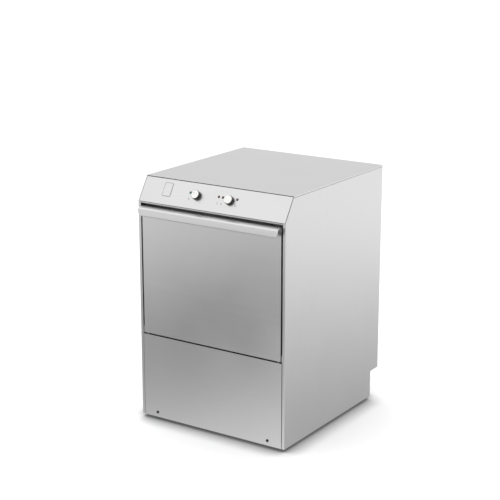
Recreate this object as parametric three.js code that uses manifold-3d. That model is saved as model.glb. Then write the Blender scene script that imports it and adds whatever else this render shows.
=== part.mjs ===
// An undercounter commercial dishwasher with a drop-down door.
// Millimetres, +Z up. The front faces -Y and X runs to the right as seen from the front.
// The origin is the centre of the footprint, on the floor.

import * as THREE from 'three';
import { mergeVertices } from 'three/addons/utils/BufferGeometryUtils.js';
import Module from 'manifold-3d';

const wasm = await Module();
wasm.setup();

// ---------------------------------------------------------------- driving dimensions

const WIDTH = 470;
const DEPTH = 510;
const BODY_HEIGHT = 678;
const FOOT_HEIGHT = 9;
const HANDLE_REACH = 20;
const SHEET = 1.5;
const CHAMBER_SHEET = 1.2;
const GAP = 0.3;

const SIDE = WIDTH / 2;
const SIDE_INNER = SIDE - SHEET;
const BACK = (DEPTH + HANDLE_REACH) / 2;
const FRONT = BACK - DEPTH;
const BASE = FOOT_HEIGHT;
const TOP = BASE + BODY_HEIGHT;
const INSIDE = SIDE_INNER - GAP;

// The control fascia leans back from its lower bend to the top panel.
const FASCIA_SETBACK = 41;
const FASCIA_RISE = 64;
const FASCIA_LOW = TOP - FASCIA_RISE;
const FASCIA_LENGTH = Math.hypot(FASCIA_SETBACK, FASCIA_RISE);
const FASCIA_TILT = Math.atan2(FASCIA_RISE, FASCIA_SETBACK);

// The header rail under the fascia is flush with the side panels' flanges. Open seams part the sheets.
const HEADER_LOW = FASCIA_LOW - 5;
const HEADER_TOP = FASCIA_LOW - 1.2;
const SEAM = 1;
const CONTROL_LINE = FASCIA_LENGTH / 2;
const LAMP_LINE = CONTROL_LINE + 6;
const POWER_X = -55;
const START_X = 50;

// The lower back edge is stepped in, which leaves room for the hoses behind the machine.
const NOTCH_DEPTH = 43;
const NOTCH_HEIGHT = 77;
const NOTCH_Y = BACK - NOTCH_DEPTH;
const NOTCH_Z = BASE + NOTCH_HEIGHT;

// The door closes the front between the lower panel and the fascia.
const FLANGE = 8;
const DOOR_SIDE = SIDE - FLANGE - 5;
const DOOR_LOW = BASE + 242.5;
const SKIN_TOP = 597;
const DOOR_TOP = 610;
const DOOR_THICK = 31.5;
const LOWER_PANEL_TOP = DOOR_LOW - 4.2;
const HINGE_Y = FRONT + 8;
const HINGE_Z = DOOR_LOW + 7;
const HINGE_PIN_R = 3;
const ARM_X = [211, 214];
const SPRING_X = (ARM_X[0] + ARM_X[1]) / 2;
const TAIL_LOW = HINGE_Z - 58.5;
const SPRING_EYE_R = 2;
const HINGE_ARM_TOP = 400;

// The front frame carries the door's hinge pins and its seal.
const FRAME_Y = FRONT + 38;
const FRAME_THICK = 2;
const DOORWAY = { side: 208, low: 282, high: 604 };
const FRAME_LOW = DOORWAY.low - 16;
const FRAME_TOP = HEADER_LOW - 1;

// The wash chamber, its tank, and the rack that stands in it.
const CHAMBER_SIDE = 209.2;
const CHAMBER_FRONT = FRAME_Y + FRAME_THICK + GAP;
const CHAMBER_REAR = 207;
const CHAMBER_TOP = 641.2;
const TANK_FLANGE_TOP = 282.5;
const TANK_SIDE = 185;
const TANK_LOW = 195;
const SUMP = { x: 80, y: -60, radius: 45, low: 150 };
const OVERFLOW = { x: 150, y: 150 };
const FILTER = { side: 200, reach: 198, low: TANK_FLANGE_TOP + GAP, thick: CHAMBER_SHEET };
const RAIL_TOP = 338;
const RACK = { side: 200, front: -203, low: RAIL_TOP + GAP, height: 105, wall: 3 };
const ARM_REACH = 180;
const HUB = { column: 14, shoulder: 17, washer: 12.5 };
const STRAINER = { radius: 38, rim: 44, low: 236, wall: CHAMBER_SHEET };
const STANDPIPE = { bore: 7.5, radius: 10, collar: 14, mouth: 300 };

// What stands on the base pan starts just above it.
const PAN_TOP = BASE + SHEET + GAP;

// The wash pump lies under the tank with its shaft along Y.
const PUMP = { x: -30, z: 95, radius: 46, mouthY: -36, outletTop: 140 };
const FEED_Z = 165;
const FEED_Y = 238;
const FEED_BRANCH_Y = 17;
const HOSE_R = 15;
const FEED_NECK_R = 12;
const FEED_NECK_TOP = CHAMBER_TOP + 9;

// ---------------------------------------------------------------- finishes

const FINISHES = {
  satinSteel: { color: 0xc9cacb, roughness: 0.34, metalness: 0.95 },
  brightSteel: { color: 0xd6d7d8, roughness: 0.22, metalness: 1 },
  zincSteel: { color: 0xa9acae, roughness: 0.45, metalness: 0.85 },
  blackPlastic: { color: 0x101112, roughness: 0.35, metalness: 0 },
  greyPlastic: { color: 0x8a8e92, roughness: 0.5, metalness: 0 },
  whitePlastic: { color: 0xe4e4e0, roughness: 0.45, metalness: 0 },
  rackPlastic: { color: 0x4f7ea8, roughness: 0.5, metalness: 0 },
  rubber: { color: 0x1a1a1b, roughness: 0.8, metalness: 0 },
  motorPaint: { color: 0x30353a, roughness: 0.6, metalness: 0.2 },
  brass: { color: 0xb5934a, roughness: 0.35, metalness: 1 },
  greenLens: { color: 0x2f8f63, roughness: 0.2, metalness: 0 },
  redLens: { color: 0x8c2f22, roughness: 0.2, metalness: 0 },
};

// ---------------------------------------------------------------- shape tools

function solid(geometry) {
  const plain = geometry.clone();
  plain.deleteAttribute('normal');
  plain.deleteAttribute('uv');
  const merged = mergeVertices(plain, 1e-4);
  const vertProperties = Float32Array.from(merged.attributes.position.array);
  const triVerts = Uint32Array.from(merged.index.array);
  return new wasm.Manifold(new wasm.Mesh({ numProp: 3, vertProperties, triVerts }));
}

function geometryOf(body) {
  const mesh = body.getMesh();
  const geometry = new THREE.BufferGeometry();
  geometry.setAttribute('position', new THREE.BufferAttribute(mesh.vertProperties, 3));
  geometry.setIndex(new THREE.BufferAttribute(mesh.triVerts, 1));
  geometry.computeVertexNormals();
  return geometry;
}

function join(...pieces) {
  return geometryOf(pieces.map(solid).reduce((whole, piece) => whole.add(piece)));
}

function cut(base, ...tools) {
  return geometryOf(tools.map(solid).reduce((whole, tool) => whole.subtract(tool), solid(base)));
}

function keep(base, tool) {
  return geometryOf(solid(base).intersect(solid(tool)));
}

function box(x, y, z) {
  const shape = new THREE.BoxGeometry(x[1] - x[0], y[1] - y[0], z[1] - z[0]);
  return shape.translate((x[0] + x[1]) / 2, (y[0] + y[1]) / 2, (z[0] + z[1]) / 2);
}

// A range of X between two distances from the middle, on the left (-1) or the right (1).
function onSide(side, near, far) {
  return side > 0 ? [near, far] : [-far, -near];
}

// An outline pushed along one axis. Its own two axes are the other two, in X, Y, Z order.
function prism(outline, axis, from, to, curveSegments = 6) {
  const options = { depth: to - from, bevelEnabled: false, curveSegments };
  const shape = new THREE.ExtrudeGeometry(outline, options);
  const turn = new THREE.Matrix4();
  if (axis === 'x') {
    turn.makeBasis(new THREE.Vector3(0, 1, 0), new THREE.Vector3(0, 0, 1), new THREE.Vector3(1, 0, 0));
    return shape.applyMatrix4(turn).translate(from, 0, 0);
  }
  if (axis === 'y') {
    turn.makeBasis(new THREE.Vector3(1, 0, 0), new THREE.Vector3(0, 0, 1), new THREE.Vector3(0, -1, 0));
    return shape.applyMatrix4(turn).translate(0, to, 0);
  }
  return shape.translate(0, 0, from);
}

function polygon(points) {
  return new THREE.Shape(points.map(([u, v]) => new THREE.Vector2(u, v)));
}

function disc(u, v, radius) {
  return new THREE.Shape().absarc(u, v, radius, 0, 2 * Math.PI);
}

function roundedRectangle([u0, u1], [v0, v1], radius) {
  const outline = new THREE.Shape();
  outline.absarc(u1 - radius, v0 + radius, radius, -Math.PI / 2, 0);
  outline.absarc(u1 - radius, v1 - radius, radius, 0, Math.PI / 2);
  outline.absarc(u0 + radius, v1 - radius, radius, Math.PI / 2, Math.PI);
  outline.absarc(u0 + radius, v0 + radius, radius, Math.PI, 1.5 * Math.PI);
  outline.closePath();
  return outline;
}

// A straight round bar. The centre is given in the two axes across it, in X, Y, Z order.
function rod(axis, [u, v], radius, from, to, segments = 8) {
  return prism(disc(u, v, radius), axis, from, to, segments);
}

// A profile of [radius, height] points turned about the Z axis.
function turned(profile, segments = 16) {
  const points = profile.map(([radius, height]) => new THREE.Vector2(radius, height));
  return new THREE.LatheGeometry(points, segments).rotateX(Math.PI / 2);
}

// A path that is followed from each of its own points to the next.
class PointPath extends THREE.Curve {
  constructor(points) {
    super();
    this.points = points;
  }

  getSpacedPoints() {
    return this.points;
  }

  getTangentAt(share) {
    const last = this.points.length - 1;
    const at = Math.round(share * last);
    const ahead = this.points[Math.min(at + 1, last)];
    const behind = this.points[Math.max(at - 1, 0)];
    return ahead.clone().sub(behind).normalize();
  }
}

// A round bar along straight stretches joined by smooth bends, each starting `bend` from its corner.
function tube(corners, radius, bend, sides = 8) {
  const line = corners.map((corner) => new THREE.Vector3(...corner));
  const points = [line[0]];
  for (let i = 1; i < line.length - 1; i += 1) {
    const before = line[i - 1].clone().sub(line[i]).setLength(bend).add(line[i]);
    const after = line[i + 1].clone().sub(line[i]).setLength(bend).add(line[i]);
    points.push(...new THREE.QuadraticBezierCurve3(before, line[i], after).getPoints(4));
  }
  points.push(line[line.length - 1]);
  const section = new THREE.Shape(
    Array.from({ length: sides }, (_, i) => {
      const angle = (2 * Math.PI * i) / sides;
      return new THREE.Vector2(radius * Math.cos(angle), radius * Math.sin(angle));
    }),
  );
  const extrudePath = new PointPath(points);
  return new THREE.ExtrudeGeometry(section, { steps: points.length - 1, extrudePath });
}

// The outline of a bent sheet: an open line, its bends rounded, thickened to the right of its travel.
function bentSheet(corners, thickness, bend) {
  const line = corners.map(([u, v]) => new THREE.Vector2(u, v));
  const outer = [line[0]];
  for (let i = 1; i < line.length - 1; i += 1) {
    const before = line[i - 1].clone().sub(line[i]).setLength(bend).add(line[i]);
    const after = line[i + 1].clone().sub(line[i]).setLength(bend).add(line[i]);
    outer.push(...new THREE.QuadraticBezierCurve(before, line[i], after).getPoints(3));
  }
  outer.push(line[line.length - 1]);
  const inner = outer.map((point, i) => {
    const ahead = outer[Math.min(i + 1, outer.length - 1)].clone().sub(point).normalize();
    const behind = point.clone().sub(outer[Math.max(i - 1, 0)]).normalize();
    const along = ahead.clone().add(behind).normalize();
    const straight = ahead.length() > 0 ? ahead : behind;
    const right = new THREE.Vector2(along.y, -along.x);
    return right.multiplyScalar(thickness / along.dot(straight)).add(point);
  });
  return new THREE.Shape([...outer, ...inner.reverse()]);
}

// ---------------------------------------------------------------- the assembly and its groups

const dishwasher = new THREE.Group();

function add(name, geometry, finish, parent = dishwasher) {
  const mesh = new THREE.Mesh(geometry, new THREE.MeshStandardMaterial(FINISHES[finish]));
  mesh.name = name;
  parent.add(mesh);
  return mesh;
}

// A frame on the fascia's outer face, its own Z pointing straight out of it.
function placeOnFascia(object, x, along) {
  const y = FRONT + along * Math.cos(FASCIA_TILT);
  const z = FASCIA_LOW + along * Math.sin(FASCIA_TILT);
  object.position.set(x, y, z);
  object.rotation.x = FASCIA_TILT;
  object.updateMatrix();
  return object;
}

function fasciaStation(x, along) {
  const station = placeOnFascia(new THREE.Group(), x, along);
  dishwasher.add(station);
  return station;
}

// ---------------------------------------------------------------- outer cabinet

function slopeY(z) {
  return FRONT + ((z - FASCIA_LOW) * FASCIA_SETBACK) / FASCIA_RISE;
}

// The top panel's edges are folded down over the side panels by this much.
const SKIRT = 4.8;
const SIDE_TOP = TOP - SKIRT - GAP;

function sidePanel(side) {
  const outline = new THREE.Shape();
  outline.moveTo(FRONT, BASE);
  outline.lineTo(NOTCH_Y, BASE);
  outline.lineTo(NOTCH_Y, NOTCH_Z - 4);
  outline.absarc(NOTCH_Y + 4, NOTCH_Z - 4, 4, Math.PI, Math.PI / 2, true);
  outline.lineTo(BACK, NOTCH_Z);
  outline.lineTo(BACK, SIDE_TOP);
  outline.lineTo(slopeY(SIDE_TOP), SIDE_TOP);
  outline.lineTo(FRONT, FASCIA_LOW);
  outline.closePath();
  const [from, to] = onSide(side, SIDE_INNER, SIDE);
  const inward = onSide(side, SIDE - 14, SIDE - SHEET / 2);
  return join(
    prism(outline, 'x', from, to),
    box(onSide(side, SIDE - FLANGE, SIDE - SHEET / 2), [FRONT, FRONT + SHEET], [BASE, HEADER_TOP]),
    box(inward, [BACK - 2 * SHEET - GAP, BACK - SHEET - GAP], [NOTCH_Z + 4, SIDE_TOP]),
    box(inward, [FRONT + FASCIA_SETBACK + 25, BACK - SHEET - GAP], [SIDE_TOP - SHEET, SIDE_TOP]),
  );
}

function topPanel() {
  const low = TOP - SKIRT;
  const front = slopeY(TOP - SHEET);
  const block = polygon([
    [slopeY(low), low],
    [BACK, low],
    [BACK, TOP],
    [front, TOP],
    [front, TOP - SHEET],
  ]);
  const hollow = box([-SIDE_INNER, SIDE_INNER], [FRONT, BACK - SHEET], [low - 1, TOP - SHEET]);
  return cut(prism(block, 'x', -SIDE, SIDE), hollow);
}

function backPanel() {
  return box([-INSIDE, INSIDE], [BACK - SHEET, BACK], [NOTCH_Z, SIDE_TOP]);
}

// The folded panel that closes the step, with holes for the water, drain and mains connections.
const INLET = { x: -60, z: 50, radius: 13 };
const DRAIN = { x: 150, z: 45, radius: 11 };
const GLAND = { x: 60, z: 60, radius: 9 };

function rearStepPanel() {
  const section = bentSheet(
    [
      [BACK - SHEET - GAP, NOTCH_Z],
      [NOTCH_Y, NOTCH_Z],
      [NOTCH_Y, BASE],
    ],
    SHEET,
    4,
  );
  const holes = [INLET, DRAIN, GLAND].map(({ x, z, radius }) =>
    rod('y', [x, z], radius + 0.8, NOTCH_Y - 5, NOTCH_Y + 5),
  );
  return cut(prism(section, 'x', -INSIDE, INSIDE), ...holes);
}

const FOOT_X = 200;
const FOOT_YS = { front: FRONT + 32, rear: NOTCH_Y - 32 };
const FOOT_STEM_R = 5;
const FOOT_PAD_R = 11;

function basePan() {
  const y = [FRONT + SHEET + 0.7, NOTCH_Y - SHEET - 0.7];
  const wallTop = BASE + 16;
  const inside = box([-INSIDE + SHEET, INSIDE - SHEET], [y[0] + SHEET, y[1] - SHEET], [BASE + SHEET, TOP]);
  const stems = [-FOOT_X, FOOT_X].flatMap((x) =>
    Object.values(FOOT_YS).map((footY) => rod('z', [x, footY], FOOT_STEM_R + 0.4, 0, TOP)),
  );
  return cut(box([-INSIDE, INSIDE], y, [BASE, wallTop]), inside, ...stems);
}

const FRONT_SCREW = { x: SIDE - 53, z: BASE + 14 };

function lowerFrontPanel() {
  const side = SIDE - FLANGE - 1.5 * SEAM;
  const topFold = side - 25.5;
  const depth = [FRONT, FRONT + 14];
  const holes = [-1, 1].map((s) =>
    rod('y', [s * FRONT_SCREW.x, FRONT_SCREW.z], 2.8, FRONT - 1, FRONT + 5),
  );
  const folds = [-1, 1].map((s) =>
    box(onSide(s, side - SHEET, side), depth, [BASE + 20, LOWER_PANEL_TOP]),
  );
  return cut(
    join(
      box([-side, side], [FRONT, FRONT + SHEET], [BASE, LOWER_PANEL_TOP]),
      box([-topFold, topFold], depth, [LOWER_PANEL_TOP - SHEET, LOWER_PANEL_TOP]),
      ...folds,
    ),
    ...holes,
  );
}

// The lamps stand in a row just above the middle of the fascia.
const LAMPS = [
  { name: 'pilot_lamp_power', x: -77, finish: 'greenLens' },
  { name: 'pilot_lamp_water', x: 14, finish: 'redLens' },
  { name: 'pilot_lamp_heat', x: 27, finish: 'redLens' },
  { name: 'pilot_lamp_cycle', x: 72, finish: 'redLens' },
];
const LENS_R = 2.6;
const KNOB_SHAFT_R = 3;
const BUTTON_NECK_R = 9;

function fasciaHole(x, along, radius) {
  const drill = rod('z', [0, 0], radius, -10, 10);
  return drill.applyMatrix4(placeOnFascia(new THREE.Object3D(), x, along).matrix);
}

function controlFascia() {
  const low = FASCIA_LOW + 0.2;
  const topFold = TOP - SHEET - SEAM;
  const section = bentSheet(
    [
      [slopeY(low), low],
      [slopeY(topFold), topFold],
      [FRONT + 60, topFold],
    ],
    SHEET,
    2,
  );
  const half = SIDE_INNER - SEAM;
  return cut(
    prism(section, 'x', -half, half),
    fasciaHole(POWER_X, CONTROL_LINE, KNOB_SHAFT_R + 0.6),
    fasciaHole(START_X, CONTROL_LINE, BUTTON_NECK_R + 0.4),
    ...LAMPS.map(({ x }) => fasciaHole(x, LAMP_LINE, LENS_R + 0.3)),
  );
}

function headerRail() {
  const half = SIDE - FLANGE - GAP;
  const section = bentSheet(
    [
      [FRONT + 16, HEADER_LOW],
      [FRONT, HEADER_LOW],
      [FRONT, HEADER_TOP],
    ],
    SHEET,
    2,
  );
  return prism(section, 'x', -half, half);
}

for (const [name, side] of [['side_panel_left', -1], ['side_panel_right', 1]]) {
  add(name, sidePanel(side), 'satinSteel');
}
add('top_panel', topPanel(), 'satinSteel');
add('back_panel', backPanel(), 'zincSteel');
add('rear_step_panel', rearStepPanel(), 'zincSteel');
add('base_pan', basePan(), 'zincSteel');
add('lower_front_panel', lowerFrontPanel(), 'satinSteel');
add('control_fascia', controlFascia(), 'satinSteel');
add('header_rail', headerRail(), 'satinSteel');

// ---------------------------------------------------------------- feet

function foot() {
  const stemTop = BASE + 32;
  return turned(
    [
      [0, 0],
      [FOOT_PAD_R - 1.5, 0],
      [FOOT_PAD_R, 1.5],
      [FOOT_PAD_R, 5],
      [8, BASE - GAP],
      [FOOT_STEM_R, BASE - GAP],
      [FOOT_STEM_R, stemTop],
      [0, stemTop],
    ],
    12,
  );
}

for (const [end, y] of Object.entries(FOOT_YS)) {
  for (const [side, x] of [['left', -FOOT_X], ['right', FOOT_X]]) {
    add(`foot_${end}_${side}`, foot(), 'blackPlastic').position.set(x, y, 0);
  }
}

// ---------------------------------------------------------------- front frame, hinge pins and seal

const CHEEK_X = [SIDE - FLANGE - 3, SIDE - FLANGE - 1];

// Each cheek reaches forward only round its hinge pin, so the gap beside the door stays open and dark.
function cheek(side) {
  const low = DOOR_LOW - 3;
  const ear = FRONT + 2;
  const edge = FRONT + 22;
  const back = FRAME_Y + 1;
  const outline = polygon([
    [ear, low],
    [back, low],
    [back, FRAME_TOP],
    [edge, FRAME_TOP],
    [edge, HINGE_Z + 30],
    [ear, HINGE_Z + 10],
  ]);
  return prism(outline, 'x', ...onSide(side, ...CHEEK_X));
}

function frontFrame() {
  const doorway = box(
    [-DOORWAY.side, DOORWAY.side],
    [FRONT, CHAMBER_FRONT],
    [DOORWAY.low, DOORWAY.high],
  );
  const plate = box([-INSIDE, INSIDE], [FRAME_Y, FRAME_Y + FRAME_THICK], [FRAME_LOW, FRAME_TOP]);
  const pinBore = rod('x', [HINGE_Y, HINGE_Z], HINGE_PIN_R + 0.3, -SIDE, SIDE);
  return cut(join(plate, cheek(-1), cheek(1)), doorway, pinBore);
}

function hingePin(side) {
  const shank = onSide(side, ARM_X[0] - 1, CHEEK_X[1] + 1);
  const head = onSide(side, CHEEK_X[1] + GAP, CHEEK_X[1] + 2.3);
  return join(
    rod('x', [HINGE_Y, HINGE_Z], HINGE_PIN_R, ...shank, 8),
    rod('x', [HINGE_Y, HINGE_Z], HINGE_PIN_R + 2, ...head, 8),
  );
}

function doorGasket() {
  const y = [FRONT + DOOR_THICK + GAP, FRAME_Y - GAP];
  const lip = 8.5;
  const outline = roundedRectangle(
    [-DOORWAY.side - lip, DOORWAY.side + lip],
    [DOORWAY.low - lip, DOORWAY.high + 5],
    10,
  );
  outline.holes.push(
    roundedRectangle(
      [-DOORWAY.side - 0.5, DOORWAY.side + 0.5],
      [DOORWAY.low + 0.5, DOORWAY.high - 0.5],
      4,
    ),
  );
  return prism(outline, 'y', ...y, 3);
}

add('front_frame', frontFrame(), 'satinSteel');
add('hinge_pin_left', hingePin(-1), 'brightSteel');
add('hinge_pin_right', hingePin(1), 'brightSteel');
add('door_gasket', doorGasket(), 'rubber');

// ---------------------------------------------------------------- door

function doorOuterSkin() {
  const depth = [FRONT, FRONT + 22];
  const face = box([-DOOR_SIDE, DOOR_SIDE], [FRONT, FRONT + SHEET], [DOOR_LOW, SKIN_TOP]);
  const fold = DOOR_SIDE - 17;
  const bottom = box([-fold, fold], depth, [DOOR_LOW, DOOR_LOW + SHEET]);
  const sides = [-1, 1].map((s) =>
    box(onSide(s, DOOR_SIDE - SHEET, DOOR_SIDE), depth, [DOOR_LOW, SKIN_TOP]),
  );
  const pinRoom = rod('x', [HINGE_Y, HINGE_Z], HINGE_PIN_R + 1.5, -SIDE, SIDE);
  return cut(join(face, bottom, ...sides), pinRoom);
}

// The handle is one bent sheet: it hooks over the door's top edge and rolls down in front of it.
const HANDLE_LOW = 586;
const HANDLE_SHEET = 2;
const HANDLE_TOP = DOOR_TOP + GAP + 1 + HANDLE_SHEET;

function doorHandle() {
  const section = bentSheet(
    [
      [FRONT + SHEET + GAP + HANDLE_SHEET, SKIN_TOP - 22],
      [FRONT + SHEET + GAP + HANDLE_SHEET, HANDLE_TOP],
      [FRONT - HANDLE_REACH + 1.5, HANDLE_TOP - 1.5],
      [FRONT - HANDLE_REACH, HANDLE_LOW],
    ].reverse(),
    HANDLE_SHEET,
    5,
  );
  const tongue = [-1, 1].map((s) =>
    box(onSide(s, DOOR_SIDE - 16, SIDE), [FRONT - 1, FRONT + 10], [SKIN_TOP - 30, HANDLE_TOP - 3]),
  );
  const face = roundedRectangle([-DOOR_SIDE, DOOR_SIDE], [HANDLE_LOW - 30, HANDLE_TOP + 30], 12);
  const lowCorners = roundedRectangle([-DOOR_SIDE, DOOR_SIDE], [HANDLE_LOW, HANDLE_TOP + 30], 12);
  const front = prism(lowCorners, 'y', FRONT - HANDLE_REACH - 5, FRONT - 1);
  const rear = prism(face, 'y', FRONT - 1, FRONT + 10);
  return cut(keep(prism(section, 'x', -DOOR_SIDE, DOOR_SIDE), join(front, rear)), ...tongue);
}

function doorInnerLiner() {
  const side = DOOR_SIDE - SHEET - GAP;
  const back = FRONT + DOOR_THICK;
  const returns = [-1, 1].map((s) =>
    box(onSide(s, side - SHEET, side), [FRONT + 6, back - 1], [HINGE_Z + 14, DOOR_TOP]),
  );
  const pressing = { side: DOORWAY.side - 12, low: DOORWAY.low + 14, high: DOORWAY.high - 8, rise: 4.5 };
  const pan = join(
    box([-side, side], [back - SHEET, back], [DOOR_LOW + SHEET + GAP, DOOR_TOP]),
    box([-side, side], [FRONT + 5, back - 1], [DOOR_TOP - SHEET, DOOR_TOP]),
    box(
      [-pressing.side, pressing.side],
      [back - SHEET, back + pressing.rise],
      [pressing.low, pressing.high],
    ),
    ...returns,
  );
  const hollow = box(
    [-pressing.side + SHEET, pressing.side - SHEET],
    [back - 2 * SHEET, back + pressing.rise - SHEET],
    [pressing.low + SHEET, pressing.high - SHEET],
  );
  return cut(pan, hollow);
}

function hingeArm(side) {
  const span = onSide(side, ...ARM_X);
  const tail = 5;
  const eye = HINGE_PIN_R + 3.2;
  const bar = join(
    box(span, [FRONT + 6, FRONT + DOOR_THICK - SHEET - GAP], [HINGE_Z - 1, HINGE_ARM_TOP]),
    box(span, [HINGE_Y - tail, HINGE_Y + tail], [TAIL_LOW, HINGE_Z]),
    rod('x', [HINGE_Y, HINGE_Z], eye, ...span),
  );
  return cut(
    bar,
    rod('x', [HINGE_Y, HINGE_Z], HINGE_PIN_R + 0.35, -SIDE, SIDE),
    rod('x', [HINGE_Y, TAIL_LOW + tail], SPRING_EYE_R, -SIDE, SIDE, 5),
  );
}

// A tension spring pulls the hinge arm's tail down towards the base pan.
function doorSpring() {
  const low = PAN_TOP;
  const high = TAIL_LOW - GAP;
  return turned(
    [
      [0, low],
      [1.5, low],
      [1.5, low + 14],
      [6, low + 18],
      [6, high - 18],
      [1.5, high - 14],
      [1.5, high],
      [0, high],
    ],
    12,
  );
}

add('door_outer_skin', doorOuterSkin(), 'satinSteel');
add('door_handle', doorHandle(), 'brightSteel');
add('door_inner_liner', doorInnerLiner(), 'satinSteel');
for (const [name, side] of [['left', -1], ['right', 1]]) {
  add(`hinge_arm_${name}`, hingeArm(side), 'zincSteel');
  add(`door_spring_${name}`, doorSpring(), 'zincSteel').position.set(side * SPRING_X, HINGE_Y, 0);
}

// ---------------------------------------------------------------- controls

const KNOB_R = 12.5;
const KNOB_HIGH = 11;

function powerKnob() {
  return turned([
    [0, -9],
    [KNOB_SHAFT_R, -9],
    [KNOB_SHAFT_R, 0.6],
    [KNOB_R, 0.6],
    [KNOB_R, KNOB_HIGH - 3],
    [KNOB_R - 2, KNOB_HIGH],
    [0, KNOB_HIGH],
  ]);
}

function powerSwitchBody() {
  const block = box([-14, 14], [-11, 11], [-19, -SHEET - GAP]);
  return cut(block, rod('z', [0, 0], KNOB_SHAFT_R + 0.4, -10, 0));
}

// The button's housing reaches through the fascia and ends in a collar round the cap.
const CAP_R = 11;

function startSwitchBody() {
  const housing = join(
    box([-14, 14], [-11, 11], [-19, -SHEET - GAP]),
    rod('z', [0, 0], BUTTON_NECK_R, -3, 2),
    turned([
      [0, GAP],
      [KNOB_R, GAP],
      [KNOB_R, KNOB_HIGH - 3.5],
      [KNOB_R - 0.5, KNOB_HIGH - 3],
      [0, KNOB_HIGH - 3],
    ]),
  );
  const capWell = rod('z', [0, 0], CAP_R + 0.4, 3.5, 20);
  const stemWell = rod('z', [0, 0], KNOB_SHAFT_R + 0.4, -13, 5);
  return cut(housing, capWell, stemWell);
}

function startButton() {
  return turned([
    [0, -9],
    [KNOB_SHAFT_R, -9],
    [KNOB_SHAFT_R, 7],
    [CAP_R, 7],
    [CAP_R, KNOB_HIGH - 0.6],
    [CAP_R - 0.6, KNOB_HIGH],
    [0, KNOB_HIGH],
  ]);
}

function pilotLamp() {
  return turned(
    [
      [0, -11],
      [4, -11],
      [4, -SHEET - GAP],
      [LENS_R, -SHEET - GAP],
      [LENS_R, 0.6],
      [LENS_R * 0.6, 1.3],
      [0, 1.5],
    ],
    10,
  );
}

const powerStation = fasciaStation(POWER_X, CONTROL_LINE);
add('power_knob', powerKnob(), 'blackPlastic', powerStation);
add('power_switch_body', powerSwitchBody(), 'greyPlastic', powerStation);
const startStation = fasciaStation(START_X, CONTROL_LINE);
add('start_button', startButton(), 'whitePlastic', startStation);
add('start_switch_body', startSwitchBody(), 'blackPlastic', startStation);
for (const { name, x, finish } of LAMPS) {
  add(name, pilotLamp(), finish, fasciaStation(x, LAMP_LINE));
}

// ---------------------------------------------------------------- wash chamber and tank

function chamberWrapper() {
  const section = bentSheet(
    [
      [-CHAMBER_SIDE, TANK_FLANGE_TOP + 0.5],
      [-CHAMBER_SIDE, CHAMBER_TOP],
      [CHAMBER_SIDE, CHAMBER_TOP],
      [CHAMBER_SIDE, TANK_FLANGE_TOP + 0.5],
    ],
    CHAMBER_SHEET,
    16,
  );
  return cut(
    prism(section, 'y', CHAMBER_FRONT, CHAMBER_REAR),
    rod('z', [0, 0], FEED_NECK_R + 1, CHAMBER_TOP - 10, CHAMBER_TOP + 10),
  );
}

function chamberBack() {
  const y = CHAMBER_REAR + GAP;
  const z = [TANK_FLANGE_TOP + 0.5, CHAMBER_TOP];
  return prism(roundedRectangle([-CHAMBER_SIDE, CHAMBER_SIDE], z, 5), 'y', y, y + CHAMBER_SHEET, 3);
}

const HEATER = { xs: [-130, -60], z: 215, radius: 4 };

// Short spouts under the tank take the suction hose, the delivery hose and the drain pipe.
const SPOUT_R = 14;
const DRAIN_SPOUT_R = 13;
const SUMP_SPOUT_LOW = SUMP.low - 12;
const HUB_SPOUT_LOW = TANK_LOW - 15;
const DRAIN_SPOUT_LOW = TANK_LOW - 25;

function tankSump() {
  const inner = TANK_SIDE - SHEET;
  const flange = box(
    [-CHAMBER_SIDE, CHAMBER_SIDE],
    [CHAMBER_FRONT, CHAMBER_REAR + SHEET],
    [TANK_FLANGE_TOP - SHEET, TANK_FLANGE_TOP],
  );
  const outside = roundedRectangle([-TANK_SIDE, TANK_SIDE], [-TANK_SIDE, TANK_SIDE], 24);
  const inside = roundedRectangle([-inner, inner], [-inner, inner], 22.5);
  const sump = [SUMP.x, SUMP.y];
  const drain = [OVERFLOW.x, OVERFLOW.y];
  const bottom = TANK_LOW + 1;
  const open = TANK_LOW + 2;
  const shell = join(
    flange,
    prism(outside, 'z', TANK_LOW, TANK_FLANGE_TOP - 1, 4),
    rod('z', sump, SUMP.radius, SUMP.low, bottom),
    rod('z', sump, SPOUT_R, SUMP_SPOUT_LOW, SUMP.low + 1),
    rod('z', drain, DRAIN_SPOUT_R, DRAIN_SPOUT_LOW, bottom),
    rod('z', [0, 0], SPOUT_R, HUB_SPOUT_LOW, bottom),
  );
  return cut(
    shell,
    prism(inside, 'z', TANK_LOW + SHEET, TANK_FLANGE_TOP + 1, 4),
    rod('z', sump, SUMP.radius - SHEET, SUMP.low + SHEET, open),
    rod('z', sump, SPOUT_R - 2, SUMP_SPOUT_LOW - 1, SUMP.low + 2),
    rod('z', drain, DRAIN_SPOUT_R - 2.5, DRAIN_SPOUT_LOW - 1, open),
    rod('z', [0, 0], SPOUT_R - 2, HUB_SPOUT_LOW - 1, open),
    ...HEATER.xs.map((x) => rod('y', [x, HEATER.z], HEATER.radius + 0.4, inner - 5, TANK_SIDE + 5, 6)),
  );
}

function filterPlate() {
  const { side, reach } = FILTER;
  const outline = roundedRectangle([-side, side], [-reach, reach], 6);
  outline.holes.push(
    disc(0, 0, HUB.column + 3),
    disc(SUMP.x, SUMP.y, STRAINER.radius + 1.5),
    disc(OVERFLOW.x, OVERFLOW.y, STANDPIPE.radius + 3),
  );
  return prism(outline, 'z', FILTER.low, FILTER.low + FILTER.thick, 8);
}

function sumpStrainer() {
  const { radius, rim, low, wall } = STRAINER;
  const plate = FILTER.low + FILTER.thick + GAP;
  return turned([
    [0, low],
    [radius, low],
    [radius, plate],
    [rim, plate],
    [rim, plate + 1.5],
    [radius - wall, plate + 1.5],
    [radius - wall, low + wall],
    [0, low + wall],
  ]);
}

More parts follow.
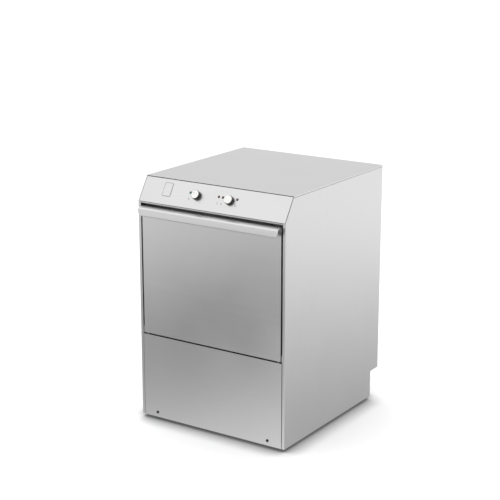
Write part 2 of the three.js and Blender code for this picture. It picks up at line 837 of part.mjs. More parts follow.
// The standpipe plugs the drain. Water above its mouth runs away, and lifting it empties the tank.
function overflowPipe() {
  const { bore, radius, collar, mouth } = STANDPIPE;
  const floor = TANK_LOW + SHEET + 0.4;
  const plugLow = floor - 7;
  return turned([
    [bore, plugLow],
    [radius - 0.5, plugLow],
    [radius, floor],
    [collar, floor],
    [collar, floor + 3],
    [radius, floor + 5],
    [radius, mouth - 12],
    [collar, mouth - 10],
    [collar, mouth],
    [bore, mouth],
    [bore, plugLow],
  ]);
}

function tankHeater() {
  const [near, far] = HEATER.xs;
  const turnY = -130;
  const outer = TANK_SIDE + 12;
  const route = [
    [near, outer, HEATER.z],
    [near, turnY, HEATER.z],
    [far, turnY, HEATER.z],
    [far, outer, HEATER.z],
  ];
  return tube(route, HEATER.radius, 34, 6);
}

add('chamber_wrapper', chamberWrapper(), 'satinSteel');
add('chamber_back', chamberBack(), 'satinSteel');
add('tank_sump', tankSump(), 'satinSteel');
add('filter_plate', filterPlate(), 'brightSteel');
const strainer = add('sump_strainer', sumpStrainer(), 'brightSteel');
strainer.position.set(SUMP.x, SUMP.y, 0);
const standpipe = add('overflow_pipe', overflowPipe(), 'greyPlastic');
standpipe.position.set(OVERFLOW.x, OVERFLOW.y, 0);
add('tank_heater', tankHeater(), 'brightSteel');

// ---------------------------------------------------------------- wash and rinse arms

const SPINDLE_R = 8;
const BOSS_R = 24;
const LOWER_WASH = [304, 317];
const LOWER_RINSE = 325.5;
const UPPER_WASH = [603, 616];
const UPPER_RINSE = 595.5;
const RINSE_BOSS_HALF = 4;

// Each hub is a column with a shoulder at the wash arm's end of its spindle and a washer at the other.
function lowerHub() {
  const floor = TANK_LOW + SHEET + GAP;
  const shoulderTop = LOWER_WASH[0] - 2;
  const washerLow = LOWER_RINSE + RINSE_BOSS_HALF + 1.5;
  return turned([
    [0, floor],
    [HUB.column + 6, floor],
    [HUB.column + 6, TANK_LOW + 5],
    [HUB.column, TANK_LOW + 5],
    [HUB.column, shoulderTop - 2],
    [HUB.shoulder, shoulderTop - 2],
    [HUB.shoulder, shoulderTop],
    [SPINDLE_R, shoulderTop],
    [SPINDLE_R, washerLow],
    [HUB.washer, washerLow],
    [HUB.washer, washerLow + 4],
    [HUB.washer - 2.5, washerLow + 5.5],
    [0, washerLow + 5.5],
  ]);
}

function upperHub() {
  const ceiling = CHAMBER_TOP - CHAMBER_SHEET - GAP;
  const shoulderLow = UPPER_WASH[1] + 2;
  const washerHigh = UPPER_RINSE - RINSE_BOSS_HALF - 1.5;
  return turned([
    [0, washerHigh - 5.5],
    [HUB.washer - 2.5, washerHigh - 5.5],
    [HUB.washer, washerHigh - 4],
    [HUB.washer, washerHigh],
    [SPINDLE_R, washerHigh],
    [SPINDLE_R, shoulderLow],
    [HUB.shoulder, shoulderLow],
    [HUB.shoulder, ceiling - 4],
    [BOSS_R, ceiling - 4],
    [BOSS_R, ceiling],
    [FEED_NECK_R, ceiling],
    [FEED_NECK_R, FEED_NECK_TOP],
    [0, FEED_NECK_TOP],
  ]);
}

// A wash arm is a flat tapered blade with nozzles along its working face.
function washArm([low, high], faceUp) {
  const tip = 11;
  const root = 17;
  const blade = polygon([
    [-ARM_REACH + tip, -tip],
    [0, -root],
    [ARM_REACH - tip, -tip],
    [ARM_REACH, 0],
    [ARM_REACH - tip, tip],
    [0, root],
    [-ARM_REACH + tip, tip],
    [-ARM_REACH, 0],
  ]);
  const nozzleZ = faceUp ? [high - 2, high + 2] : [low - 2, low + 2];
  const nozzles = [60, 105, 150].flatMap((x) =>
    [x, -x].map((at) => rod('z', [at, 0], 4, ...nozzleZ, 4)),
  );
  const body = join(prism(blade, 'z', low, high), rod('z', [0, 0], BOSS_R, low, high), ...nozzles);
  return cut(body, rod('z', [0, 0], SPINDLE_R + 0.5, low - 5, high + 5));
}

// A rinse arm is a thin tube through a small boss.
function rinseArm(z) {
  const reach = ARM_REACH - 15;
  const body = join(
    rod('x', [0, z], 4, -reach, reach, 5),
    rod('z', [0, 0], HUB.column, z - RINSE_BOSS_HALF, z + RINSE_BOSS_HALF),
  );
  return cut(body, rod('z', [0, 0], SPINDLE_R + 0.5, z - 10, z + 10));
}

const REST_ANGLES = { lowerWash: 0.45, lowerRinse: -0.7, upperWash: 0.35, upperRinse: -0.6 };

add('wash_arm_hub_lower', lowerHub(), 'greyPlastic');
add('wash_arm_hub_upper', upperHub(), 'greyPlastic');
add('lower_wash_arm', washArm(LOWER_WASH, true), 'brightSteel').rotation.z = REST_ANGLES.lowerWash;
add('lower_rinse_arm', rinseArm(LOWER_RINSE), 'brightSteel').rotation.z = REST_ANGLES.lowerRinse;
add('upper_wash_arm', washArm(UPPER_WASH, false), 'brightSteel').rotation.z = REST_ANGLES.upperWash;
add('upper_rinse_arm', rinseArm(UPPER_RINSE), 'brightSteel').rotation.z = REST_ANGLES.upperRinse;

// ---------------------------------------------------------------- rack and rails

function rackRail(side) {
  const wall = onSide(side, CHAMBER_SIDE - CHAMBER_SHEET - 2, CHAMBER_SIDE - CHAMBER_SHEET - GAP);
  const shelf = onSide(side, 189, CHAMBER_SIDE - CHAMBER_SHEET - GAP);
  const length = [CHAMBER_FRONT + 4, CHAMBER_REAR - 4];
  return join(
    box(wall, length, [RAIL_TOP - 14, RAIL_TOP + 14]),
    box(shelf, length, [RAIL_TOP - 1.7, RAIL_TOP]),
  );
}

// The rack is a square basket with an open grid floor and windows in its walls.
function rack() {
  const { side, wall, low, height } = RACK;
  const back = RACK.front + 2 * side;
  const middle = RACK.front + side;
  const floor = 6;
  const outer = box([-side, side], [RACK.front, back], [low, low + height]);
  const inside = box(
    [-side + wall, side - wall],
    [RACK.front + wall, back - wall],
    [low + floor, low + height + 1],
  );
  const cells = 5;
  const pitch = (2 * side - 20) / cells;
  const half = pitch / 2 - 4;
  const centres = Array.from({ length: cells }, (_, i) => (i - (cells - 1) / 2) * pitch);
  const floorHoles = centres.flatMap((x) =>
    centres.map((y) =>
      box([x - half, x + half], [middle + y - half, middle + y + half], [low - 1, low + floor + 1]),
    ),
  );
  const window = [low + 32, low + height - 22];
  const wallHoles = centres.flatMap((at) => [
    box([at - half, at + half], [RACK.front - 1, back + 1], window),
    box([-side - 1, side + 1], [middle + at - half, middle + at + half], window),
  ]);
  return cut(outer, inside, ...floorHoles, ...wallHoles);
}

add('rack_rail_left', rackRail(-1), 'satinSteel');
add('rack_rail_right', rackRail(1), 'satinSteel');
add('rack', rack(), 'rackPlastic');

// ---------------------------------------------------------------- wash pump and pipework

function pumpHousing() {
  const axis = [PUMP.x, PUMP.z];
  const outlet = [PUMP.x + 30, 0];
  const body = join(
    rod('y', axis, PUMP.radius, -22, 20),
    rod('y', axis, 16, PUMP.mouthY, -20),
    rod('z', outlet, 13, PUMP.z, PUMP.outletTop),
    box([PUMP.x - 32, PUMP.x + 32], [-15, 10], [PAN_TOP, PUMP.z - 35]),
  );
  return cut(
    body,
    rod('y', axis, PUMP.radius - 5, -18, 16),
    rod('y', axis, 13, PUMP.mouthY - 1, -17),
    rod('y', axis, 6, 15, 21),
    rod('z', outlet, 10, PUMP.z, PUMP.outletTop + 1),
  );
}

function pumpImpeller() {
  const vane = () => box([9, 36], [-10, 4.5], [-1.5, 1.5]);
  const vanes = Array.from({ length: 6 }, (_, i) => vane().rotateY((i * Math.PI) / 3));
  return join(
    rod('y', [0, 0], 37, 4, 8),
    rod('y', [0, 0], 10, -12, 6),
    rod('y', [0, 0], 5, 6, 21.7),
    ...vanes,
  );
}

function pumpMotor() {
  const can = turned([
    [0, 22],
    [38, 22],
    [42, 26],
    [42, 138],
    [38, 150],
    [0, 150],
  ]).rotateX(-Math.PI / 2);
  const cradle = box([-30, 30], [50, 110], [PAN_TOP - PUMP.z, -30]);
  const terminals = box([-20, 20], [60, 110], [35, 56]);
  return join(can, cradle, terminals);
}

const impeller = add('pump_impeller', pumpImpeller(), 'blackPlastic');
impeller.position.set(PUMP.x, 0, PUMP.z);
add('pump_housing', pumpHousing(), 'greyPlastic');
const motor = add('pump_motor', pumpMotor(), 'motorPaint');
motor.position.set(PUMP.x, 0, PUMP.z);

function suctionHose() {
  const mouth = SUMP_SPOUT_LOW - GAP;
  const lowY = SUMP.y - 40;
  return tube(
    [
      [SUMP.x, SUMP.y, mouth],
      [SUMP.x, SUMP.y, PUMP.z + 8],
      [SUMP.x - 30, lowY, PUMP.z],
      [PUMP.x, lowY, PUMP.z],
      [PUMP.x, PUMP.mouthY - GAP, PUMP.z],
    ],
    HOSE_R,
    22,
  );
}

// The delivery hose feeds the lower hub, and a branch at its back feeds the upper arms.
function deliveryHose() {
  return join(
    rod('z', [0, 0], HOSE_R, PUMP.outletTop + GAP, HUB_SPOUT_LOW - GAP),
    rod('y', [0, FEED_Z], 11, 2, FEED_BRANCH_Y),
  );
}

function upperFeedPipe() {
  const high = CHAMBER_TOP + 23;
  const route = [
    [0, FEED_BRANCH_Y + GAP, FEED_Z],
    [0, FEED_Y, FEED_Z],
    [0, FEED_Y, high],
    [0, 0, high],
    [0, 0, FEED_NECK_TOP + GAP],
  ];
  return tube(route, 8, 12);
}

function drainPipe() {
  const route = [
    [OVERFLOW.x, OVERFLOW.y, DRAIN_SPOUT_LOW - GAP],
    [OVERFLOW.x, OVERFLOW.y, DRAIN.z + 40],
    [DRAIN.x, OVERFLOW.y + 30, DRAIN.z],
    [DRAIN.x, NOTCH_Y + 28, DRAIN.z],
  ];
  return tube(route, DRAIN.radius, 25);
}

add('suction_hose', suctionHose(), 'rubber');
add('delivery_hose', deliveryHose(), 'rubber');
add('upper_feed_pipe', upperFeedPipe(), 'brightSteel');
add('drain_pipe', drainPipe(), 'greyPlastic');

// ---------------------------------------------------------------- rinse system and electrics

const BOILER = { x: -165, y: 100, radius: 55, top: 180, shell: 2 };
const BOARD_BOX = { x: [118, 212], y: [-197, -73], top: 120, lid: 3, lidThick: 8 };
const RINSE_AID = { x: [-190, -130], y: [-195, -150], top: 92, headZ: 62 };

function rinseBoiler() {
  const { radius, shell, top: high } = BOILER;
  const low = PAN_TOP;
  const vessel = join(
    turned([
      [0, low],
      [radius - 12, low],
      [radius, low + 12],
      [radius, high - 14],
      [radius - 20, high],
      [0, high],
    ]),
    rod('z', [25, 0], 6, high - 8, high + 9, 6),
  );
  const hollow = turned([
    [0, low + shell],
    [radius - 13, low + shell],
    [radius - shell, low + 13],
    [radius - shell, high - 15],
    [radius - 21, high - shell],
    [0, high - shell],
  ]);
  return cut(vessel, hollow, rod('z', [25, 0], 4, high - 20, high + 10, 6));
}

function inletValve() {
  const { x, z, radius } = INLET;
  const inner = NOTCH_Y - 8;
  return join(
    box([x - 15, x + 15], [inner - 26, inner], [z - 14, z + 12]),
    rod('z', [x, inner - 13], 14, z + 10, z + 42),
    rod('y', [x, z], radius, inner - 1, NOTCH_Y + 24),
    rod('y', [x, z], 7, inner - 42, inner - 25, 6),
  );
}

function cableGland() {
  const wall = NOTCH_Y - SHEET;
  const across = { nut: 12, neck: GLAND.radius, throat: 4.5 };
  const body = turned(
    [
      [0, wall - 8],
      [across.nut, wall - 8],
      [across.nut, wall - GAP],
      [across.neck, wall - GAP],
      [across.neck, NOTCH_Y + GAP],
      [across.nut, NOTCH_Y + GAP],
      [across.nut, NOTCH_Y + 14],
      [across.neck, NOTCH_Y + 20],
      [across.throat, NOTCH_Y + 22],
      [across.throat, NOTCH_Y + 8],
      [0, NOTCH_Y + 8],
    ],
    12,
  );
  return body.rotateX(-Math.PI / 2);
}

function rinseAidPump() {
  const { x, y, top, headZ } = RINSE_AID;
  const headX = (x[0] + x[1]) / 2;
  return join(
    box(x, y, [PAN_TOP, top]),
    rod('y', [headX, headZ], 24, y[0] - 17, y[0] + 1),
  );
}

function controlBoardBox() {
  const { x, y, top, lid, lidThick } = BOARD_BOX;
  const cover = roundedRectangle([x[0] - lid, x[1] + lid], [y[0] - lid, y[1] + lid], 6);
  return join(
    box(x, y, [PAN_TOP, top]),
    prism(cover, 'z', top - 2, top + lidThick, 3),
  );
}

add('rinse_boiler', rinseBoiler(), 'brightSteel').position.set(BOILER.x, BOILER.y, 0);
add('inlet_valve', inletValve(), 'brass');
// The gland is turned about its own axis, which runs along Y.
const gland = add('cable_gland', cableGland(), 'blackPlastic');
gland.position.set(GLAND.x, 0, GLAND.z);
add('rinse_aid_pump', rinseAidPump(), 'whitePlastic');
add('control_board_box', controlBoardBox(), 'greyPlastic');

export default dishwasher;
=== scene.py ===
"""The looks, light and camera for an undercounter dishwasher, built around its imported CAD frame.

Metres, +Z up. The front faces -Y and X runs to the right as seen from the front.
"""

import math

import bmesh
import bpy
from mathutils import Matrix, Vector


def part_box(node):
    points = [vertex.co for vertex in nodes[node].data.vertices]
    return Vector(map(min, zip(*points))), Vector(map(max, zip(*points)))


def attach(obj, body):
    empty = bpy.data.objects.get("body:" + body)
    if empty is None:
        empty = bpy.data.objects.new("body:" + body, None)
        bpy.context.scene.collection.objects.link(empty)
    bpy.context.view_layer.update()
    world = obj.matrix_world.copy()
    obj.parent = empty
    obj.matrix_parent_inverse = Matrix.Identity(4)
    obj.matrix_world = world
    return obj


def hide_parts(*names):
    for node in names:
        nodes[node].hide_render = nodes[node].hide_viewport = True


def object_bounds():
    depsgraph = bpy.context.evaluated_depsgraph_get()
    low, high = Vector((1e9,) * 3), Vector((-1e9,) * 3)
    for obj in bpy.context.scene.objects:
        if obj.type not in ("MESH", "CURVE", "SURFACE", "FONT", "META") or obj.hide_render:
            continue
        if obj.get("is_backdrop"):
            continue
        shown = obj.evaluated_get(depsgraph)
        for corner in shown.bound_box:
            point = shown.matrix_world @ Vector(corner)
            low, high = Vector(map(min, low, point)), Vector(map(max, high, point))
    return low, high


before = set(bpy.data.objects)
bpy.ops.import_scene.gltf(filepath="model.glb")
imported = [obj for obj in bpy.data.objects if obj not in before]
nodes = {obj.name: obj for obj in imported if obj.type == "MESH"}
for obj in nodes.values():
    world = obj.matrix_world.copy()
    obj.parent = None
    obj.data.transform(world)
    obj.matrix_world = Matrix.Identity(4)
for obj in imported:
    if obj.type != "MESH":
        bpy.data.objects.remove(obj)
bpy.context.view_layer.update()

# ------------------------------------------------------------------ places taken from the frame

HANDLE_LOW, HANDLE_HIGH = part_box("door_handle")
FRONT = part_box("door_outer_skin")[0].y
TOP_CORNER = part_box("top_panel")[1]
SIDE, BACK, TOP = TOP_CORNER

# The outer face of the folded step in the lower back.
STEP_SHEET = 0.0015
STEP_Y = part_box("rear_step_panel")[0].y + STEP_SHEET

# The fascia leans back by its setback while it climbs by its rise.
FASCIA_SETBACK = 0.041
FASCIA_RISE = 0.064
FASCIA_TILT = math.atan2(FASCIA_RISE, FASCIA_SETBACK)
FASCIA_LENGTH = math.hypot(FASCIA_SETBACK, FASCIA_RISE)
FASCIA_LOW = TOP - FASCIA_RISE

# Lines along the fascia, measured up its slope, and the two controls' places across it.
CONTROL_LINE = FASCIA_LENGTH / 2
LAMP_LINE = CONTROL_LINE + 0.006
SYMBOL_LINE = CONTROL_LINE - 0.012
POWER_X = -0.055
START_X = 0.050


def fascia_place(x, along, out=0.0):
    """A place on the fascia whose own Z points straight out of it and whose Y runs up the slope."""
    y = FRONT + along * math.cos(FASCIA_TILT)
    z = FASCIA_LOW + along * math.sin(FASCIA_TILT)
    lift = Matrix.Translation((0, 0, out))
    return Matrix.Translation((x, y, z)) @ Matrix.Rotation(FASCIA_TILT, 4, "X") @ lift


def facing(x, y, z, direction):
    """A place whose own Z points towards -Y (front), +Y (back) or -Z (down)."""
    turn = {"front": 90, "back": -90, "down": 180}[direction]
    return Matrix.Translation((x, y, z)) @ Matrix.Rotation(math.radians(turn), 4, "X")


# ------------------------------------------------------------------ materials


class Finish:
    """A principled material, with its procedural detail added a step at a time."""

    def __init__(self, name, color, roughness, metallic=0.0):
        self.material = bpy.data.materials.new(name)
        self.material.use_nodes = True
        self.tree = self.material.node_tree
        self.shader = self.tree.nodes["Principled BSDF"]
        self.set("Base Color", (*color, 1.0))
        self.set("Roughness", roughness)
        self.set("Metallic", metallic)
        self.color = color

    def set(self, socket, value):
        self.shader.inputs[socket].default_value = value

    def add(self, kind, **settings):
        node = self.tree.nodes.new(kind)
        for name, value in settings.items():
            setattr(node, name, value)
        return node

    def link(self, source, target):
        self.tree.links.new(source, target)

    def coordinates(self, stretch):
        """Object coordinates, in metres, times a number of repeats a metre along each axis."""
        place = self.add("ShaderNodeTexCoord")
        mapping = self.add("ShaderNodeMapping")
        mapping.inputs["Scale"].default_value = stretch
        self.link(place.outputs["Object"], mapping.inputs["Vector"])
        return mapping.outputs["Vector"]

    def noise(self, stretch, detail=3.0):
        node = self.add("ShaderNodeTexNoise")
        node.inputs["Scale"].default_value = 1.0
        node.inputs["Detail"].default_value = detail
        self.link(self.coordinates(stretch), node.inputs["Vector"])
        return node.outputs["Fac"]

    def cells(self, repeats):
        node = self.add("ShaderNodeTexVoronoi")
        node.inputs["Scale"].default_value = 1.0
        self.link(self.coordinates((repeats,) * 3), node.inputs["Vector"])
        return node.outputs["Color"]

    def spread(self, factor, low, high):
        """A factor around 0.5 spread over the range from low to high."""
        return self.remap(factor, (0.3, 0.7), (low, high))

    def remap(self, factor, source, target):
        """A factor's range between two values, changed to a range between two others."""
        node = self.add("ShaderNodeMapRange")
        node.inputs["From Min"].default_value = source[0]
        node.inputs["From Max"].default_value = source[1]
        node.inputs["To Min"].default_value = target[0]
        node.inputs["To Max"].default_value = target[1]
        self.link(factor, node.inputs["Value"])
        return node.outputs["Result"]

    def blend(self, first, second, share=0.5):
        node = self.add("ShaderNodeMix")
        node.inputs["Factor"].default_value = share
        self.link(first, node.inputs["A"])
        self.link(second, node.inputs["B"])
        return node.outputs["Result"]

    def vary_roughness(self, factor, low, high):
        self.link(self.spread(factor, low, high), self.shader.inputs["Roughness"])

    def vary_color(self, factor, depth):
        """The base colour, darker and lighter by a share of itself."""
        node = self.add("ShaderNodeMix", data_type="RGBA")
        node.inputs["A"].default_value = (*[c * (1 - depth) for c in self.color], 1.0)
        node.inputs["B"].default_value = (*[min(1.0, c * (1 + depth)) for c in self.color], 1.0)
        self.link(self.spread(factor, 0.0, 1.0), node.inputs["Factor"])
        self.link(node.outputs["Result"], self.shader.inputs["Base Color"])

    def relief(self, factor, height, strength=1.0):
        node = self.add("ShaderNodeBump")
        node.inputs["Strength"].default_value = strength
        node.inputs["Distance"].default_value = height
        self.link(factor, node.inputs["Height"])
        self.link(node.outputs["Normal"], self.shader.inputs["Normal"])


def grain_stretch(axis, along, across):
    return tuple(along if name == axis else across for name in "xyz")


def brushed_steel(name, axis, tone=0.60, roughness=0.33):
    """Stainless sheet rubbed along one axis, with faint broad streaks and handling marks."""
    finish = Finish(name, (tone, tone, tone), roughness, metallic=1.0)
    fine = finish.noise(grain_stretch(axis, 9.0, 1900.0), detail=2.0)
    streaks = finish.noise(grain_stretch(axis, 2.0, 150.0), detail=4.0)
    clouds = finish.noise((7.0, 7.0, 7.0), detail=3.0)
    grain = finish.blend(fine, streaks, 0.4)
    finish.vary_roughness(finish.blend(grain, clouds), roughness - 0.04, roughness + 0.04)
    finish.vary_color(finish.blend(streaks, clouds, 0.6), 0.022)
    finish.relief(grain, 0.00002, 0.5)
    return finish.material


def zinc_steel():
    finish = Finish("zinc_steel", (0.47, 0.48, 0.49), 0.42, metallic=0.9)
    spangle = finish.cells(110.0)
    finish.vary_color(spangle, 0.045)
    finish.vary_roughness(spangle, 0.38, 0.46)
    finish.relief(finish.noise((400.0,) * 3), 0.00003, 0.4)
    return finish.material


def plated_steel():
    finish = Finish("plated_steel", (0.50, 0.50, 0.51), 0.3, metallic=1.0)
    marks = finish.noise((250.0,) * 3)
    finish.vary_roughness(marks, 0.22, 0.4)
    finish.vary_color(marks, 0.08)
    return finish.material


def moulded(name, color, roughness, texture=1200.0, gloss=0.0):
    """Moulded plastic: a fine spark-eroded texture, slightly uneven in gloss."""
    finish = Finish(name, color, roughness)
    skin = finish.noise((texture,) * 3, detail=2.0)
    clouds = finish.noise((45.0,) * 3)
    finish.vary_roughness(clouds, max(0.03, roughness - 0.05), roughness + 0.07)
    finish.vary_color(clouds, 0.04)
    finish.relief(skin, 0.00002, 0.35)
    finish.set("Coat Weight", gloss)
    finish.set("Coat Roughness", 0.08)
    return finish.material


def rubber():
    finish = Finish("rubber", (0.018, 0.018, 0.019), 0.72)
    bloom = finish.noise((60.0,) * 3, detail=5.0)
    finish.vary_roughness(bloom, 0.6, 0.85)
    finish.vary_color(bloom, 0.3)
    finish.relief(finish.noise((1500.0,) * 3), 0.00004, 0.5)
    return finish.material


def motor_paint():
    finish = Finish("motor_paint", (0.035, 0.042, 0.05), 0.5)
    orange_peel = finish.noise((500.0,) * 3)
    finish.vary_roughness(orange_peel, 0.42, 0.6)
    finish.relief(orange_peel, 0.00006, 0.5)
    return finish.material


def brass():
    finish = Finish("brass", (0.62, 0.44, 0.18), 0.3, metallic=1.0)
    tarnish = finish.noise((120.0,) * 3, detail=5.0)
    finish.vary_roughness(tarnish, 0.22, 0.45)
    finish.vary_color(tarnish, 0.12)
    return finish.material


def lens(name, color):
    """A coloured lamp lens: clear plastic with a faintly ribbed inside."""
    finish = Finish(name, color, 0.12)
    finish.set("Coat Weight", 0.6)
    finish.set("Coat Roughness", 0.05)
    depth = finish.noise((900.0,) * 3)
    finish.vary_color(depth, 0.2)
    finish.relief(depth, 0.00003, 0.3)
    return finish.material


def printed(name, color):
    finish = Finish(name, color, 0.55)
    ink = finish.noise((2500.0,) * 3)
    finish.vary_color(ink, 0.12)
    finish.vary_roughness(ink, 0.5, 0.62)
    return finish.material


STEEL_ACROSS = brushed_steel("steel_brushed_across", "x")
STEEL_UPRIGHT = brushed_steel("steel_brushed_upright", "z")
STEEL_DEEP = brushed_steel("steel_brushed_deep", "y", tone=0.62)
STEEL_BRIGHT = brushed_steel("steel_bright", "x", tone=0.66, roughness=0.22)
STEEL_HANDLE = brushed_steel("steel_handle", "x", tone=0.66, roughness=0.36)
ZINC = zinc_steel()
PLATED = plated_steel()
BLACK = moulded("black_plastic", (0.010, 0.010, 0.011), 0.34)
GLOSSY_BLACK = moulded("glossy_black_plastic", (0.004, 0.004, 0.004), 0.26, texture=300.0, gloss=0.12)
GREY = moulded("grey_plastic", (0.24, 0.25, 0.26), 0.45)
WHITE = moulded("white_plastic", (0.78, 0.78, 0.75), 0.4)
SILVER_CAP = moulded("silver_cap", (0.74, 0.74, 0.73), 0.3, texture=900.0)
RACK_BLUE = moulded("rack_plastic", (0.075, 0.19, 0.34), 0.45)
RUBBER = rubber()
MOTOR = motor_paint()
BRASS = brass()
GREEN_LENS = lens("green_lens", (0.015, 0.11, 0.075))
RED_LENS = lens("red_lens", (0.10, 0.030, 0.024))
PRINT = printed("printed_grey", (0.12, 0.12, 0.12))
PRINT_DARK = printed("printed_dark", (0.07, 0.07, 0.07))


# ------------------------------------------------------------------ CAD pieces that stay

# Sheets whose broad faces have no holes: each becomes one polygon, so that it shades evenly.
PLAIN_SHEETS = {"side_panel_left", "side_panel_right"}


EDGE_ANGLE = 35
WELD_REACH = 0.00002
FLAT_ANGLE = 0.5


def round_edges(made, width, angle=EDGE_ANGLE):
    """Rounds the edges that turn by more than an angle in degrees."""
    bevel = made.modifiers.new("edges", "BEVEL")
    bevel.width = width
    bevel.segments = 2
    bevel.limit_method = "ANGLE"
    bevel.angle_limit = math.radians(angle)
    return bevel


def dress(name, material, edge):
    """Gives a CAD node its material, and rounds its sharp edges by a small radius."""
    node = nodes[name]
    node.data.materials.clear()
    node.data.materials.append(material)
    weld = node.modifiers.new("weld", "WELD")
    weld.merge_threshold = WELD_REACH
    if name in PLAIN_SHEETS:
        flats = node.modifiers.new("flats", "DECIMATE")
        flats.decimate_type = "DISSOLVE"
        flats.angle_limit = math.radians(FLAT_ANGLE)
    round_edges(node, edge)
    shading = node.modifiers.new("shading", "WEIGHTED_NORMAL")
    shading.keep_sharp = False
    shading.weight = 100


# The node's material and the radius of its edges.
CARRIED_OVER = {
    "side_panel_left": (STEEL_UPRIGHT, 0.0007),
    "side_panel_right": (STEEL_UPRIGHT, 0.0007),
    "top_panel": (STEEL_DEEP, 0.0009),
    "control_fascia": (STEEL_ACROSS, 0.0005),
    "header_rail": (STEEL_ACROSS, 0.0004),
    "lower_front_panel": (STEEL_ACROSS, 0.0013),
    "door_outer_skin": (STEEL_ACROSS, 0.0013),
    "door_inner_liner": (STEEL_ACROSS, 0.0007),
    "front_frame": (STEEL_ACROSS, 0.0005),
    "back_panel": (ZINC, 0.0005),
    "rear_step_panel": (ZINC, 0.0005),
    "base_pan": (ZINC, 0.0005),
    "hinge_pin_left": (PLATED, 0.0003),
    "hinge_pin_right": (PLATED, 0.0003),
    "hinge_arm_left": (ZINC, 0.0004),
    "hinge_arm_right": (ZINC, 0.0004),
    "door_gasket": (RUBBER, 0.0009),
    "power_switch_body": (GREY, 0.0006),
    "chamber_wrapper": (STEEL_DEEP, 0.0003),
    "chamber_back": (STEEL_UPRIGHT, 0.0003),
    "tank_sump": (STEEL_DEEP, 0.0003),
    "sump_strainer": (STEEL_BRIGHT, 0.0003),
    "overflow_pipe": (GREY, 0.0006),
    "tank_heater": (PLATED, 0.0003),
    "wash_arm_hub_lower": (GREY, 0.0006),
    "wash_arm_hub_upper": (GREY, 0.0006),
    "lower_wash_arm": (STEEL_BRIGHT, 0.0016),
    "lower_rinse_arm": (STEEL_BRIGHT, 0.0006),
    "upper_wash_arm": (STEEL_BRIGHT, 0.0016),
    "upper_rinse_arm": (STEEL_BRIGHT, 0.0006),
    "rack_rail_left": (STEEL_DEEP, 0.0003),
    "rack_rail_right": (STEEL_DEEP, 0.0003),
    "pump_impeller": (BLACK, 0.0005),
    "pump_housing": (GREY, 0.0012),
    "pump_motor": (MOTOR, 0.0012),
    "suction_hose": (RUBBER, 0.0005),
    "delivery_hose": (RUBBER, 0.0005),
    "upper_feed_pipe": (STEEL_BRIGHT, 0.0004),
    "rinse_boiler": (STEEL_BRIGHT, 0.0012),
    "rinse_aid_pump": (WHITE, 0.0012),
    "control_board_box": (GREY, 0.0009),
}

for name, (material, edge) in CARRIED_OVER.items():
    dress(name, material, edge)


# ------------------------------------------------------------------ shape tools


SAME_PLACE = 0.000001


def piece(name, shape, material, body, place=None, replaces=(), edge=0.0):
    """Turns a bmesh into a piece that rides on a CAD body."""
    if place is not None:
        shape.transform(place)
    bmesh.ops.remove_doubles(shape, verts=shape.verts, dist=SAME_PLACE)
    bmesh.ops.recalc_face_normals(shape, faces=shape.faces)
    mesh = bpy.data.meshes.new(name)
    shape.to_mesh(mesh)
    shape.free()
    mesh.polygons.foreach_set("use_smooth", [True] * len(mesh.polygons))
    mesh.set_sharp_from_angle(angle=math.radians(EDGE_ANGLE))
    mesh.materials.append(material)
    made = bpy.data.objects.new(name, mesh)
    bpy.context.scene.collection.objects.link(made)
    if edge > 0:
        round_edges(made, edge).harden_normals = True
    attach(made, body)
    if replaces:
        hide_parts(*replaces)
    return made


def thicken(made, sheet):
    """Gives a surface its sheet's thickness, on the inner side."""
    thickness = made.modifiers.new("thickness", "SOLIDIFY")
    thickness.thickness = sheet
    thickness.offset = -1


def lathe(profile, segments, radius_at=None):
    """A profile of (radius, height) pairs turned about Z.

    radius_at(angle, radius) gives the reach of a ring that isn't round.
    """
    shape = bmesh.new()
    rings = []
    for radius, height in profile:
        if radius == 0:
            rings.append([shape.verts.new((0, 0, height))])
            continue
        ring = []
        for i in range(segments):
            angle = 2 * math.pi * i / segments
            reach = radius_at(angle, radius) if radius_at else radius
            ring.append(shape.verts.new((reach * math.cos(angle), reach * math.sin(angle), height)))
        rings.append(ring)
    for low, high in zip(rings, rings[1:]):
        join_rings(shape, low, high)
    return shape


def join_rings(shape, low, high):
    count = max(len(low), len(high))
    if count == 1:
        return
    for i in range(count):
        j = (i + 1) % count
        if len(low) == 1:
            shape.faces.new((low[0], high[i], high[j]))
        elif len(high) == 1:
            shape.faces.new((low[i], low[j], high[0]))
        else:
            shape.faces.new((low[i], low[j], high[j], high[i]))


def slab(outline, low, high):
    """A flat outline of (x, y) pairs given a thickness along Z."""
    shape = bmesh.new()
    bottom = shape.faces.new([shape.verts.new((x, y, low)) for x, y in outline])
    raised = bmesh.ops.extrude_face_region(shape, geom=[bottom])["geom"]
    moved = [part for part in raised if isinstance(part, bmesh.types.BMVert)]
    bmesh.ops.translate(shape, verts=moved, vec=(0, 0, high - low))
    return shape


CORNERS = [(1, 1), (-1, 1), (-1, -1), (1, -1)]


def rounded_rectangle(width, height, radius):
    steps = 6
    points = []
    for corner, (sx, sy) in enumerate(CORNERS):
        for step in range(steps + 1):
            angle = math.pi / 2 * (corner + step / steps)
            x = sx * (width / 2 - radius) + radius * math.cos(angle)
            y = sy * (height / 2 - radius) + radius * math.sin(angle)
            points.append((x, y))
    return points


def stroke(points, width):
    """The outline of a line of even width drawn through (x, y) points."""
    left, right = [], []
    for i, point in enumerate(points):
        ahead = Vector(points[min(i + 1, len(points) - 1)])
        behind = Vector(points[max(i - 1, 0)])
        along = (ahead - behind).normalized()
        across = Vector((-along.y, along.x)) * (width / 2)
        left.append(tuple(Vector(point) + across))
        right.append(tuple(Vector(point) - across))
    return left + right[::-1]


def quarter_turn(steps):
    """Angles from nothing to a right angle."""
    return [math.pi / 2 * i / steps for i in range(steps + 1)]


